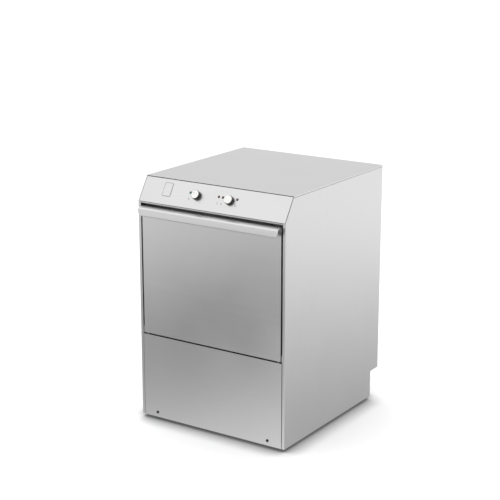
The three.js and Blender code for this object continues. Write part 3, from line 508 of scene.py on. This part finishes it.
def arc(x, y, radius, start, end, steps=14):
    """Points on an arc, its angles in degrees."""
    angles = [math.radians(start + (end - start) * i / steps) for i in range(steps + 1)]
    return [(x + radius * math.cos(a), y + radius * math.sin(a)) for a in angles]


def merge(*shapes):
    """One bmesh holding all of the given ones."""
    whole = bmesh.new()
    for shape in shapes:
        mesh = bpy.data.meshes.new("part")
        shape.to_mesh(mesh)
        shape.free()
        whole.from_mesh(mesh)
        bpy.data.meshes.remove(mesh)
    return whole


def bar(low, high):
    """A rectangular bar between two corners."""
    shape = bmesh.new()
    size = Vector(high) - Vector(low)
    centre = (Vector(high) + Vector(low)) / 2
    bmesh.ops.create_cube(shape, size=1.0, matrix=Matrix.Translation(centre) @ Matrix.Diagonal((*size, 1)))
    return shape


def tube(points, radius, sides):
    """A round closed tube swept along points, with no twist."""
    line = [Vector(point) for point in points]
    shape = bmesh.new()
    rings = []
    side = None
    for i, point in enumerate(line):
        along = (line[min(i + 1, len(line) - 1)] - line[max(i - 1, 0)]).normalized()
        if side is None:
            side = along.orthogonal().normalized()
        side = (side - along * side.dot(along)).normalized()
        other = along.cross(side)
        ring = []
        for k in range(sides):
            angle = 2 * math.pi * k / sides
            offset = side * math.cos(angle) + other * math.sin(angle)
            ring.append(shape.verts.new(point + offset * radius))
        rings.append(ring)
    for low, high in zip(rings, rings[1:]):
        join_rings(shape, low, high)
    shape.faces.new(rings[0][::-1])
    shape.faces.new(rings[-1])
    return shape


def rounded_path(corners, bends):
    """Straight stretches joined by smooth bends.

    Each inner corner has its own distance, at which its bend starts and ends.
    """
    steps = 8
    line = [Vector(corner) for corner in corners]
    points = [line[0]]
    for before, corner, after, bend in zip(line, line[1:], line[2:], bends):
        start = corner + (before - corner).normalized() * bend
        end = corner + (after - corner).normalized() * bend
        for step in range(steps + 1):
            t = step / steps
            points.append(start * (1 - t) ** 2 + corner * (2 * t * (1 - t)) + end * t**2)
    points.append(line[-1])
    return points


# ------------------------------------------------------------------ door handle

HANDLE_SHEET = 0.002
HANDLE_CORNER = 0.012
FACE_LOW = 0.586
FACE_LEAN = 0.0012
HEM_DEPTH = 0.006
HEM_BEND = 0.0035
NOSE_DROP = 0.005
NOSE_BEND = 0.0055
HOOK_BEND = 0.0035
HOOK_LOW = HANDLE_LOW.z + 0.003


def handle_section(low):
    """The handle sheet's outer line, from the hem at its lower edge over the nose to its hook."""
    face_y = HANDLE_LOW.y
    top = HANDLE_HIGH.z
    hook_y = HANDLE_HIGH.y
    corners = [
        (0, face_y + HEM_DEPTH, low),
        (0, face_y, low),
        (0, face_y + FACE_LEAN, top - NOSE_DROP),
        (0, hook_y, top),
        (0, hook_y, HOOK_LOW),
    ]
    return rounded_path(corners, [HEM_BEND, NOSE_BEND, HOOK_BEND])


def door_handle():
    """One bent sheet whose lower front corners are rounded off."""
    right = []
    for turn in quarter_turn(8):
        x = HANDLE_HIGH.x - HANDLE_CORNER * (1 - math.sin(turn))
        right.append((x, HANDLE_CORNER * (1 - math.cos(turn))))
    left = [(-x, lift) for x, lift in reversed(right)]
    shape = bmesh.new()
    rows = []
    for x, lift in left + right:
        section = handle_section(FACE_LOW + lift)
        rows.append([shape.verts.new((x, point.y, point.z)) for point in section])
    for first, second in zip(rows, rows[1:]):
        for i in range(len(first) - 1):
            shape.faces.new((first[i], second[i], second[i + 1], first[i + 1]))
    return shape


handle = piece("handle_sheet", door_handle(), STEEL_HANDLE, "door", replaces=["door_handle"])
thicken(handle, HANDLE_SHEET)
round_edges(handle, 0.0006, angle=50).harden_normals = True


# ------------------------------------------------------------------ controls and lamps

KNOB_R = 0.0125
KNOB_HIGH = 0.011
CAP_R = 0.0112
CAP_SEAT = KNOB_HIGH - 0.0014
BUTTON_SEAT = 0.0068


def knob_skirt():
    """The dark body of the knob, with a shallow seat for its cap."""
    profile = [
        (0.0, 0.0006),
        (KNOB_R - 0.0004, 0.0006),
        (KNOB_R, 0.0010),
        (KNOB_R - 0.0002, KNOB_HIGH - 0.0020),
        (KNOB_R - 0.0006, KNOB_HIGH - 0.0010),
        (CAP_R + 0.0002, KNOB_HIGH - 0.0007),
        (CAP_R + 0.0001, CAP_SEAT),
        (0.0, CAP_SEAT),
    ]
    return lathe(profile, 64)


def knob_cap(radius, low, high):
    """A slightly dished disc with a rounded rim."""
    profile = [
        (0.0, low),
        (radius, low),
        (radius, high - 0.0005),
        (radius - 0.0003, high - 0.0001),
        (radius - 0.0008, high),
        (radius - 0.0016, high - 0.0001),
        (radius * 0.5, high - 0.0003),
        (0.0, high - 0.0004),
    ]
    return lathe(profile, 64)


def pointer():
    """The short line on the knob's face that shows which way it is turned."""
    line = stroke([(-0.0052, 0.0052), (-0.0026, 0.0026)], 0.0011)
    return slab(line, KNOB_HIGH - 0.0005, KNOB_HIGH - 0.0001)


power_place = fascia_place(POWER_X, CONTROL_LINE)
start_place = fascia_place(START_X, CONTROL_LINE)
piece("knob_skirt", knob_skirt(), GLOSSY_BLACK, "power_knob", power_place, ["power_knob"])
cap = knob_cap(CAP_R, CAP_SEAT, KNOB_HIGH)
piece("knob_cap", cap, SILVER_CAP, "power_knob", power_place)
piece("knob_pointer", pointer(), PRINT_DARK, "power_knob", power_place)


def button_collar():
    """The collar that rises round the start button, and the switch behind the fascia."""
    well = CAP_R + 0.0003
    collar = lathe(
        [
            (well, 0.0035),
            (well, KNOB_HIGH - 0.0026),
            (well + 0.0002, KNOB_HIGH - 0.0023),
            (KNOB_R - 0.0004, KNOB_HIGH - 0.0024),
            (KNOB_R, KNOB_HIGH - 0.0032),
            (KNOB_R, 0.0007),
            (KNOB_R - 0.0004, 0.0003),
            (0.0090, 0.0003),
            (0.0090, -0.0030),
            (0.0080, -0.0030),
            (0.0080, 0.0035),
            (well, 0.0035),
        ],
        64,
    )
    housing = bar((-0.014, -0.011, -0.019), (0.014, 0.011, -0.0018))
    return merge(collar, housing)


collar = button_collar()
piece("start_collar", collar, GLOSSY_BLACK, "cabinet", start_place, ["start_switch_body"])
cap = knob_cap(CAP_R, BUTTON_SEAT, KNOB_HIGH)
piece("start_cap", cap, SILVER_CAP, "start_button", start_place, ["start_button"])


def lamp_lens():
    """A low domed lens on a straight barrel."""
    radius = 0.0026
    barrel_low = -0.011
    barrel_top = 0.0007
    rise = 0.0009
    dome = [(radius * math.cos(a), barrel_top + rise * math.sin(a)) for a in quarter_turn(6)]
    barrel = [(0.0, barrel_low), (radius, barrel_low), (radius, barrel_top)]
    return lathe([*barrel, *dome[1:-1], (0.0, barrel_top + rise)], 32)


def lamp_bezel():
    """The thin dark ring round a lens."""
    return lathe(
        [
            (0.0027, 0.00005),
            (0.0036, 0.00005),
            (0.0036, 0.0003),
            (0.0033, 0.0005),
            (0.0028, 0.0005),
            (0.0027, 0.00005),
        ],
        32,
    )


# Each lamp's place across the fascia, and its lens.
LAMPS = {
    "power": (-0.077, GREEN_LENS, "green_lens"),
    "water": (0.014, RED_LENS, "red_lens"),
    "heat": (0.027, RED_LENS, "red_lens"),
    "cycle": (0.072, RED_LENS, "red_lens"),
}

for name, (x, material, slot) in LAMPS.items():
    place = fascia_place(x, LAMP_LINE)
    node = f"pilot_lamp_{name}"
    piece(f"lens_{name}", lamp_lens(), material, "cabinet", place, [node])
    piece(f"bezel_{name}", lamp_bezel(), BLACK, "cabinet", place)


# ------------------------------------------------------------------ printed symbols and the blank badge

# How far the ink's underside and its face stand off the fascia, and the width of its lines.
INK = (0.00002, 0.00008)
LINE = 0.0007


def inked(*lines):
    return merge(*[slab(stroke(line, LINE), *INK) for line in lines])


def power_symbol():
    return inked(arc(0, 0, 0.0021, 120, 420), [(0, 0.0008), (0, 0.0030)])


def drop_symbol():
    round_end = arc(0, -0.0008, 0.0018, 150, 390)
    return inked([*round_end, (0, 0.0032), round_end[0]])


def thermometer_symbol():
    bulb = arc(0, -0.0018, 0.0011, 120, 420)
    return inked([*bulb, (0.0005, 0.0026), (-0.0005, 0.0026), bulb[0]])


def cycle_symbol():
    tip = 0.0024
    head = [(tip - 0.0010, 0.0008), (tip, -0.0003), (tip + 0.0010, 0.0008)]
    return inked(arc(0, 0, tip, 20, 330, steps=22), head)


SYMBOLS = {
    "symbol_power": (power_symbol, LAMPS["power"][0]),
    "symbol_water": (drop_symbol, LAMPS["water"][0]),
    "symbol_heat": (thermometer_symbol, LAMPS["heat"][0]),
    "symbol_cycle": (cycle_symbol, LAMPS["cycle"][0]),
}

for name, (draw, x) in SYMBOLS.items():
    piece(name, draw(), PRINT, "cabinet", fascia_place(x, SYMBOL_LINE))

BADGE_WIDE = 0.028
BADGE_HIGH = 0.040
BADGE_CORNER = 0.0045
BADGE_THICK = 0.0006
BADGE_X = -0.152
BADGE_LINE = 0.043
badge_place = fascia_place(BADGE_X, BADGE_LINE)


def badge_plate(inset, low, high):
    """A plate of the badge's outline, smaller by an inset all round."""
    outline = rounded_rectangle(BADGE_WIDE - 2 * inset, BADGE_HIGH - 2 * inset, BADGE_CORNER - inset)
    return slab(outline, low, high)


plate = badge_plate(0.0, INK[0], BADGE_THICK)
piece("blank_badge", plate, STEEL_ACROSS, "cabinet", badge_place, edge=0.0002)
border = badge_plate(0.0006, BADGE_THICK, 0.0007)
piece("badge_field", border, PRINT, "cabinet", badge_place)
field = badge_plate(0.0016, BADGE_THICK, 0.0008)
piece("badge_face", field, STEEL_ACROSS, "cabinet", badge_place)


# ------------------------------------------------------------------ screws


def hexagon(angle, radius):
    """The reach of a hexagon with that inner radius, so a lathe ring becomes six-sided."""
    sixth = math.pi / 3
    return radius / math.cos((angle % sixth) - sixth / 2)


def cross(angle, radius):
    """The reach of a cross-shaped recess whose arms are that long."""
    quarter = math.pi / 2
    off_axis = abs((angle + quarter / 2) % quarter - quarter / 2)
    return min(radius, 0.16 * radius / max(math.sin(off_axis), 0.001) + 0.12 * radius)


def screw_head(radius, height, recess, recess_radius):
    """A domed head with a recess whose outline is given by a function of the angle."""
    segments = 48
    dome_steps = [math.radians(90 * i / 5) for i in range(5)]
    dome = [(radius * (0.45 + 0.55 * math.cos(a)), height * (0.25 + 0.75 * math.sin(a))) for a in dome_steps]
    outside = lathe([(radius, 0.0), (radius, height * 0.25), *dome[1:]], segments)
    rim_radius, rim_height = dome[-1]

    shape = bmesh.new()
    rings = []
    for reach, level in [
        (lambda angle: rim_radius, rim_height),
        (lambda angle: recess(angle, recess_radius), height * 0.97),
        (lambda angle: recess(angle, recess_radius) * 0.9, height * 0.35),
    ]:
        ring = []
        for i in range(segments):
            angle = 2 * math.pi * i / segments
            r = reach(angle)
            ring.append(shape.verts.new((r * math.cos(angle), r * math.sin(angle), level)))
        rings.append(ring)
    for low, high in zip(rings, rings[1:]):
        join_rings(shape, low, high)
    shape.faces.new(rings[-1])
    return merge(outside, shape)


FRONT_SCREW_INSET = 0.053
FRONT_SCREW_X = SIDE - FRONT_SCREW_INSET
FRONT_SCREW_Z = 0.023

for name, x in [("left", -FRONT_SCREW_X), ("right", FRONT_SCREW_X)]:
    head = screw_head(radius=0.0042, height=0.0022, recess=hexagon, recess_radius=0.0017)
    place = facing(x, FRONT, FRONT_SCREW_Z, "front")
    piece(f"front_screw_{name}", head, BLACK, "cabinet", place)


# ------------------------------------------------------------------ feet


def foot_shape():
    """A rubber-soled levelling foot: a turned pad, a hexagonal grip and a threaded stem."""
    pad = lathe(
        [
            (0.0, 0.0),
            (0.0092, 0.0),
            (0.0104, 0.0005),
            (0.0110, 0.0014),
            (0.0110, 0.0038),
            (0.0106, 0.0046),
            (0.0088, 0.0049),
            (0.0, 0.0049),
        ],
        40,
    )
    grip_r = 0.0078
    grip_low = 0.0047
    grip_top = 0.0086
    grip = lathe([(0.0, grip_low), (grip_r, grip_low), (grip_r, grip_top), (0.0, grip_top)], 48, hexagon)
    crest = 0.0050
    root = 0.0044
    turns = 26
    pitch = 0.0012
    threads = [(0.0, grip_top)]
    for i in range(turns):
        threads.append((crest, grip_top + pitch * i))
        threads.append((root, grip_top + pitch * (i + 0.5)))
    threads.append((0.0, grip_top + pitch * turns))
    return merge(pad, grip, lathe(threads, 24))


for end in ["front", "rear"]:
    for side in ["left", "right"]:
        node = f"foot_{end}_{side}"
        low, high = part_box(node)
        place = Matrix.Translation(((low.x + high.x) / 2, (low.y + high.y) / 2, 0))
        piece(f"levelling_{node}", foot_shape(), BLACK, node, place, [node])


# ------------------------------------------------------------------ door springs


def spring_shape(low, high):
    """A tension spring whose wire runs straight along its axis at both ends."""
    x, y, _ = (low + high) / 2
    coil_radius = 0.0052
    wire = 0.0009
    end_length = 0.016
    turn_in = 0.004
    end_bend = 0.002
    coil_low = low.z + end_length
    coil_high = high.z - end_length
    turns = 42
    steps = turns * 12
    coil = []
    for i in range(steps + 1):
        angle = 2 * math.pi * turns * i / steps
        z = coil_low + (coil_high - coil_low) * i / steps
        coil.append((x + coil_radius * math.cos(angle), y + coil_radius * math.sin(angle), z))
    first_end = [(x, y, low.z + wire), (x, y, coil_low - turn_in), coil[0]]
    last_end = [coil[-1], (x, y, coil_high + turn_in), (x, y, high.z - wire)]
    first_end = rounded_path(first_end, [end_bend])
    last_end = rounded_path(last_end, [end_bend])
    return tube([*first_end[:-1], *coil, *last_end[1:]], wire, sides=6)


for side in ["left", "right"]:
    node = f"door_spring_{side}"
    low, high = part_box(node)
    piece(f"coil_{node}", spring_shape(low, high), PLATED, "cabinet", replaces=[node])


# ------------------------------------------------------------------ rack

RACK_LOW, RACK_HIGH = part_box("rack")


def rack_shape():
    """A moulded basket: a rim, two belts, upright bars and a close floor grid."""
    side = RACK_HIGH.x
    low, high = RACK_LOW.z, RACK_HIGH.z
    front, back = RACK_LOW.y, RACK_HIGH.y
    wall = 0.004
    bars = []
    belts = [(low, low + 0.010), (low + 0.032, low + 0.038), (high - 0.022, high)]
    for bottom, top in belts:
        for x in (-side, side - wall):
            bars.append(bar((x, front, bottom), (x + wall, back, top)))
        for y in (front, back - wall):
            bars.append(bar((-side + wall, y, bottom), (side - wall, y + wall, top)))
    posts = 9
    for i in range(posts):
        share = i / (posts - 1)
        x = -side + wall + share * (2 * side - 3 * wall)
        y = front + wall + share * (back - front - 3 * wall)
        for face_y in (front + 0.0005, back - wall + 0.0005):
            bars.append(bar((x, face_y, low), (x + wall, face_y + wall - 0.001, high - 0.001)))
        for face_x in (-side + 0.0005, side - wall + 0.0005):
            bars.append(bar((face_x, y, low), (face_x + wall - 0.001, y + wall, high - 0.001)))
    ribs = 17
    rib = 0.0022
    for i in range(ribs):
        share = (i + 0.5) / ribs
        x = -side + share * 2 * side
        y = front + share * (back - front)
        bars.append(bar((x - rib / 2, front + wall, low), (x + rib / 2, back - wall, low + 0.006)))
        bars.append(bar((-side + wall, y - rib / 2, low + 0.0005), (side - wall, y + rib / 2, low + 0.0055)))
    return merge(*bars)


piece("glass_rack", rack_shape(), RACK_BLUE, "rack", replaces=["rack"], edge=0.0004)


# ------------------------------------------------------------------ filter plate

FILTER_LOW, FILTER_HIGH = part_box("filter_plate")
FILTER_SHEET = 0.0012
FILTER_CELLS = 38
PUNCHED_R = 0.0026
OVERFLOW_X, OVERFLOW_Y = 0.150, 0.150
# The holes for the wash arms' hub, the strainer and the overflow pipe, as (x, y, radius).
FILTER_HOLES = [(0.0, 0.0, 0.017), (0.080, -0.060, 0.0395), (OVERFLOW_X, OVERFLOW_Y, 0.013)]


def punched_cell(shape, x, y, half_x, half_y, z):
    """One rectangle of sheet with an eight-sided hole in its middle."""
    corners = [shape.verts.new((x + sx * half_x, y + sy * half_y, z)) for sx, sy in CORNERS]
    rim = []
    for step in range(8):
        angle = math.pi / 4 * step
        rim.append(shape.verts.new((x + PUNCHED_R * math.cos(angle), y + PUNCHED_R * math.sin(angle), z)))
    for k in range(4):
        first = 2 * k + 1
        inner = [rim[(first + 2) % 8], rim[(first + 1) % 8], rim[first % 8]]
        shape.faces.new((corners[k], corners[(k + 1) % 4], *inner))


def filter_sheet():
    """The punched sheet, plain along its edges and left out under the rims of its large holes."""
    half_x = FILTER_HIGH.x / FILTER_CELLS
    half_y = (FILTER_HIGH.y - FILTER_LOW.y) / 2 / FILTER_CELLS
    z = FILTER_HIGH.z
    shape = bmesh.new()
    for i in range(FILTER_CELLS):
        for j in range(FILTER_CELLS):
            x = FILTER_LOW.x + (2 * i + 1) * half_x
            y = FILTER_LOW.y + (2 * j + 1) * half_y
            clearance = min(math.hypot(x - hx, y - hy) - reach for hx, hy, reach in FILTER_HOLES)
            if clearance < 1.5 * half_x:
                continue
            at_edge = min(i, j) == 0 or max(i, j) == FILTER_CELLS - 1
            if at_edge:
                plain = [shape.verts.new((x + sx * half_x, y + sy * half_y, z)) for sx, sy in CORNERS]
                shape.faces.new(plain)
            else:
                punched_cell(shape, x, y, half_x, half_y, z)
    return shape


def filter_rim(x, y, reach):
    """The pressed rim round one of the plate's large holes."""
    outer = reach + 0.016
    top = FILTER_HIGH.z + 0.0003
    low = FILTER_LOW.z
    bevelled_edge = [(outer, top - 0.0002), (outer - 0.001, top)]
    rim = lathe([(reach, low), (outer, low), *bevelled_edge, (reach, top), (reach, low)], 64)
    rim.transform(Matrix.Translation((x, y, 0)))
    return rim


punched = filter_sheet()
sheet = piece("filter_sheet", punched, STEEL_DEEP, "cabinet", replaces=["filter_plate"])
thicken(sheet, FILTER_SHEET)
rims = merge(*[filter_rim(*hole) for hole in FILTER_HOLES])
piece("filter_rims", rims, STEEL_DEEP, "cabinet")


# ------------------------------------------------------------------ rear connections


def inlet_shape():
    """The solenoid valve: a body, its coil, and a threaded 3/4 inch water connection."""
    x = -0.060
    z = 0.050
    inner = STEP_Y - 0.008
    half = 0.015
    depth = 0.026
    body = bar((x - half, inner - depth, z - 0.014), (x + half, inner, z + 0.012))
    coil = lathe(
        [
            (0.0, 0.0),
            (0.014, 0.0),
            (0.014, 0.004),
            (0.0128, 0.005),
            (0.0128, 0.027),
            (0.014, 0.028),
            (0.014, 0.032),
            (0.0, 0.032),
        ],
        32,
    )
    coil.transform(Matrix.Translation((x, inner - depth / 2, z + 0.010)))
    root = 0.0112
    crest = 0.0130
    bore = 0.0080
    start = 0.010
    pitch = 0.0018
    threads = 7
    profile = [(0.0, -0.001), (root, -0.001)]
    for i in range(threads):
        profile.append((root, start + pitch * i))
        profile.append((crest, start + pitch * (i + 0.5)))
    profile += [(root, 0.0240), (0.0095, 0.0320), (bore, 0.0320), (bore, 0.0200), (0.0, 0.0200)]
    spout = lathe(profile, 40)
    spout.transform(facing(x, inner, z, "back"))
    stub = lathe([(0.0, 0.0), (0.007, 0.0), (0.007, 0.016), (0.0, 0.016)], 24)
    stub.transform(facing(x, inner - 0.041, z, "back"))
    return merge(body, coil, spout, stub)


piece("inlet_fitting", inlet_shape(), BRASS, "cabinet", replaces=["inlet_valve"], edge=0.0003)


def gland_shape():
    """A cable gland: two hexagonal nuts and a clamping dome with an empty throat."""
    nut = 0.0112
    inner_nut = lathe([(0.0, -0.0095), (nut, -0.0095), (nut, -0.0018), (0.0, -0.0018)], 48, hexagon)
    outer_nut = lathe([(0.0, 0.0003), (nut, 0.0003), (nut, 0.0070), (0.0, 0.0070)], 48, hexagon)
    dome = lathe(
        [
            (0.0085, 0.0068),
            (nut, 0.0070),
            (nut, 0.0135),
            (0.0104, 0.0175),
            (0.0086, 0.0205),
            (0.0062, 0.0220),
            (0.0047, 0.0220),
            (0.0045, 0.0080),
            (0.0, 0.0080),
        ],
        48,
    )
    neck = lathe([(0.0, -0.0020), (0.0090, -0.0020), (0.0090, 0.0010), (0.0, 0.0010)], 32)
    return merge(inner_nut, outer_nut, dome, neck)


GLAND_X = 0.060
GLAND_Z = 0.060
gland = gland_shape()
gland_place = facing(GLAND_X, STEP_Y, GLAND_Z, "back")
piece("cord_gland", gland, BLACK, "cabinet", gland_place, ["cable_gland"], edge=0.0003)


def drain_shape():
    """The drain pipe, down from the tank and out through the step, ending in a barbed spigot."""
    radius = 0.0105
    x = OVERFLOW_X
    z = 0.045
    end_y = STEP_Y + 0.012
    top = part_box("drain_pipe")[1].z
    route = [
        (x, OVERFLOW_Y, top),
        (x, OVERFLOW_Y, z + 0.040),
        (x, OVERFLOW_Y + 0.030, z),
        (x, end_y, z),
    ]
    pipe = tube(rounded_path(route, [0.025, 0.025]), radius, sides=28)
    barbs = [(radius, 0.0)]
    for i in range(3):
        barbs += [(0.0110, 0.0005 + 0.005 * i), (0.0098, 0.0050 + 0.005 * i)]
    barbs += [(0.0098, 0.0160), (0.0080, 0.0160), (0.0080, 0.002), (0.0, 0.002)]
    spigot = lathe(barbs, 36)
    spigot.transform(facing(x, end_y, z, "back"))
    return merge(pipe, spigot)


piece("drain_spigot", drain_shape(), GREY, "cabinet", replaces=["drain_pipe"])


# ------------------------------------------------------------------ back panel screws

BACK_LOW, BACK_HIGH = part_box("back_panel")
BACK_SCREW_INSET = 0.007
BACK_SCREW_MARGIN = 0.030
BACK_SCREW_ROWS = 4


def back_screw_spots():
    """Places, as (x, z), down both edges of the back panel."""
    low = BACK_LOW.z + BACK_SCREW_MARGIN
    climb = BACK_HIGH.z - BACK_LOW.z - 2 * BACK_SCREW_MARGIN
    levels = [low + climb * i / (BACK_SCREW_ROWS - 1) for i in range(BACK_SCREW_ROWS)]
    reach = BACK_HIGH.x - BACK_SCREW_INSET
    return [(side * reach, z) for side in (-1, 1) for z in levels]


for number, (x, z) in enumerate(back_screw_spots()):
    head = screw_head(radius=0.0038, height=0.0020, recess=cross, recess_radius=0.0021)
    place = facing(x, BACK_HIGH.y, z, "back")
    piece(f"back_screw_{number + 1}", head, PLATED, "cabinet", place)


# ------------------------------------------------------------------ floor, light and camera


FLOOR_SIZE = 80.0
FLOOR_TONE = 0.97
# The floor's painted shadow: the tone where things hide it, how near they have to be, and the hidden
# and open ends of the share of the space over it that is free.
PAINTED_SHADOW_TONE = 0.35
PAINTED_SHADOW_REACH = 0.065
PAINTED_SHADOW_RANGE = (0.45, 0.95)
BACKDROP_REACH = 38.0
CARD_HEIGHT = 0.002
CARD_REACH = 6.0


def add_mesh(name, mesh, finish):
    """Puts a mesh of the stage in the scene, in one material."""
    mesh.materials.append(finish.material)
    made = bpy.data.objects.new(name, mesh)
    bpy.context.scene.collection.objects.link(made)
    return made


def pale_floor():
    """A pale floor whose colour darkens softly where something stands close over it: a painted shadow."""
    finish = Finish("floor", (FLOOR_TONE,) * 3, 0.75)
    finish.set("Specular IOR Level", 0.0)
    finish.vary_roughness(finish.noise((3.0, 3.0, 3.0)), 0.7, 0.8)
    # Painted shadow: the occlusion by things close over the floor darkens its base colour.
    openness = finish.add("ShaderNodeAmbientOcclusion", samples=16)
    openness.inputs["Distance"].default_value = PAINTED_SHADOW_REACH
    shade = finish.remap(openness.outputs["AO"], PAINTED_SHADOW_RANGE, (PAINTED_SHADOW_TONE, FLOOR_TONE))
    finish.link(shade, finish.shader.inputs["Base Color"])
    bpy.ops.mesh.primitive_plane_add(size=FLOOR_SIZE)
    floor = bpy.context.object
    floor.name = "floor"
    floor.data.materials.append(finish.material)
    floor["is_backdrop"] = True


def white_backdrop():
    """A white wall all round at the floor's far edge, which only the camera sees."""
    finish = Finish("backdrop", (0.0, 0.0, 0.0), 1.0)
    finish.set("Specular IOR Level", 0.0)
    finish.set("Emission Color", (1.0, 1.0, 1.0, 1.0))
    finish.set("Emission Strength", 1.0)
    shape = lathe([(BACKDROP_REACH, -1.0), (BACKDROP_REACH, BACKDROP_REACH)], 64)
    mesh = bpy.data.meshes.new("backdrop")
    shape.to_mesh(mesh)
    shape.free()
    wall = add_mesh("backdrop", mesh, finish)
    wall.visible_diffuse = False
    wall.visible_glossy = False
    wall.visible_shadow = False
    wall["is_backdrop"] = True


def reflector(name, low, high, centre, reach, dim, bright):
    """A card on the floor that only reflections see, dim at its centre and bright at its reach."""
    finish = Finish(name, (0.0, 0.0, 0.0), 1.0)
    finish.set("Specular IOR Level", 0.0)
    place = finish.add("ShaderNodeTexCoord")
    mapping = finish.add("ShaderNodeMapping", vector_type="TEXTURE")
    mapping.inputs["Location"].default_value = (*centre, 0.0)
    mapping.inputs["Scale"].default_value = (*reach, 1.0)
    distance = finish.add("ShaderNodeVectorMath", operation="LENGTH")
    finish.link(place.outputs["Object"], mapping.inputs["Vector"])
    finish.link(mapping.outputs["Vector"], distance.inputs[0])
    shade = finish.remap(distance.outputs["Value"], (0.0, 1.0), (dim, bright))
    finish.link(shade, finish.shader.inputs["Emission Strength"])
    finish.set("Emission Color", (1.0, 1.0, 1.0, 1.0))
    mesh = bpy.data.meshes.new(name)
    corners = [(low[0], low[1]), (high[0], low[1]), (high[0], high[1]), (low[0], high[1])]
    mesh.from_pydata([(x, y, CARD_HEIGHT) for x, y in corners], [], [(0, 1, 2, 3)])
    card = add_mesh(name, mesh, finish)
    card.visible_camera = False
    card.visible_diffuse = False
    card.visible_shadow = False
    card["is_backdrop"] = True


def bright_room(low_strength, high_strength):
    """White light from all round, stronger from overhead."""
    world = bpy.data.worlds.new("studio")
    world.use_nodes = True
    tree = world.node_tree
    background = tree.nodes["Background"]
    background.inputs["Color"].default_value = (1.0, 1.0, 1.0, 1.0)
    direction = tree.nodes.new("ShaderNodeTexCoord")
    split = tree.nodes.new("ShaderNodeSeparateXYZ")
    shade = tree.nodes.new("ShaderNodeMapRange")
    shade.inputs["To Min"].default_value = low_strength
    shade.inputs["To Max"].default_value = high_strength
    tree.links.new(direction.outputs["Generated"], split.inputs["Vector"])
    tree.links.new(split.outputs["Z"], shade.inputs["Value"])
    tree.links.new(shade.outputs["Result"], background.inputs["Strength"])
    bpy.context.scene.world = world


def softbox(name, place, width, height, power):
    """A rectangular light aimed at the middle of the body."""
    light = bpy.data.lights.new(name, "AREA")
    light.shape = "RECTANGLE"
    light.size = width
    light.size_y = height
    light.energy = power
    made = bpy.data.objects.new(name, light)
    made.location = place
    made.rotation_euler = (BODY_CENTRE - Vector(place)).to_track_quat("-Z", "Y").to_euler()
    made.visible_camera = False
    bpy.context.scene.collection.objects.link(made)
    return made


# The lights and the camera aim at the middle of the body, between its base and its top.
AIM_LOW = 0.012
BODY_CENTRE = Vector((0.0, (FRONT + BACK) / 2, (TOP + AIM_LOW) / 2))

pale_floor()
white_backdrop()
bright_room(0.76, 1.34)
reflector(
    "card_front",
    (-CARD_REACH, -CARD_REACH),
    (CARD_REACH, FRONT),
    centre=(-0.55, -1.20),
    reach=(1.0, 1.7),
    dim=0.12,
    bright=1.05,
)
reflector(
    "card_round",
    (-CARD_REACH, FRONT),
    (CARD_REACH, CARD_REACH),
    centre=(0.0, 0.0),
    reach=(2.4, 2.4),
    dim=0.50,
    bright=1.30,
)
overhead = softbox("overhead", (-0.6, 0.3, 2.6), width=2.2, height=2.2, power=24.0)
overhead.visible_glossy = False
softbox("fascia_light", (-1.7, -2.1, 2.6), width=1.6, height=1.2, power=2.0)

VIEW_AZIMUTH = math.radians(33.6)
VIEW_ELEVATION = math.radians(15.25)
VIEW_DISTANCE = 3.837
VIEW_RIGHT = -0.0353
VIEW_UP = 0.1083
SENSOR = 36.0
LENS = 98.3
CAMERA_REACH = 200.0


def photo_camera():
    """A camera at the body's front right, a little above it."""
    back = Vector(
        (
            math.sin(VIEW_AZIMUTH) * math.cos(VIEW_ELEVATION),
            -math.cos(VIEW_AZIMUTH) * math.cos(VIEW_ELEVATION),
            math.sin(VIEW_ELEVATION),
        )
    )
    right = Vector((math.cos(VIEW_AZIMUTH), math.sin(VIEW_AZIMUTH), 0.0))
    up = back.cross(right)
    data = bpy.data.cameras.new("camera")
    data.sensor_width = SENSOR
    data.lens = LENS
    data.clip_end = CAMERA_REACH
    camera = bpy.data.objects.new("camera", data)
    camera.location = BODY_CENTRE + right * VIEW_RIGHT + up * VIEW_UP + back * VIEW_DISTANCE
    camera.rotation_euler = (-back).to_track_quat("-Z", "Y").to_euler()
    bpy.context.scene.collection.objects.link(camera)
    bpy.context.scene.camera = camera


photo_camera()
bpy.context.scene.view_settings.view_transform = "Standard"

low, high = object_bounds()
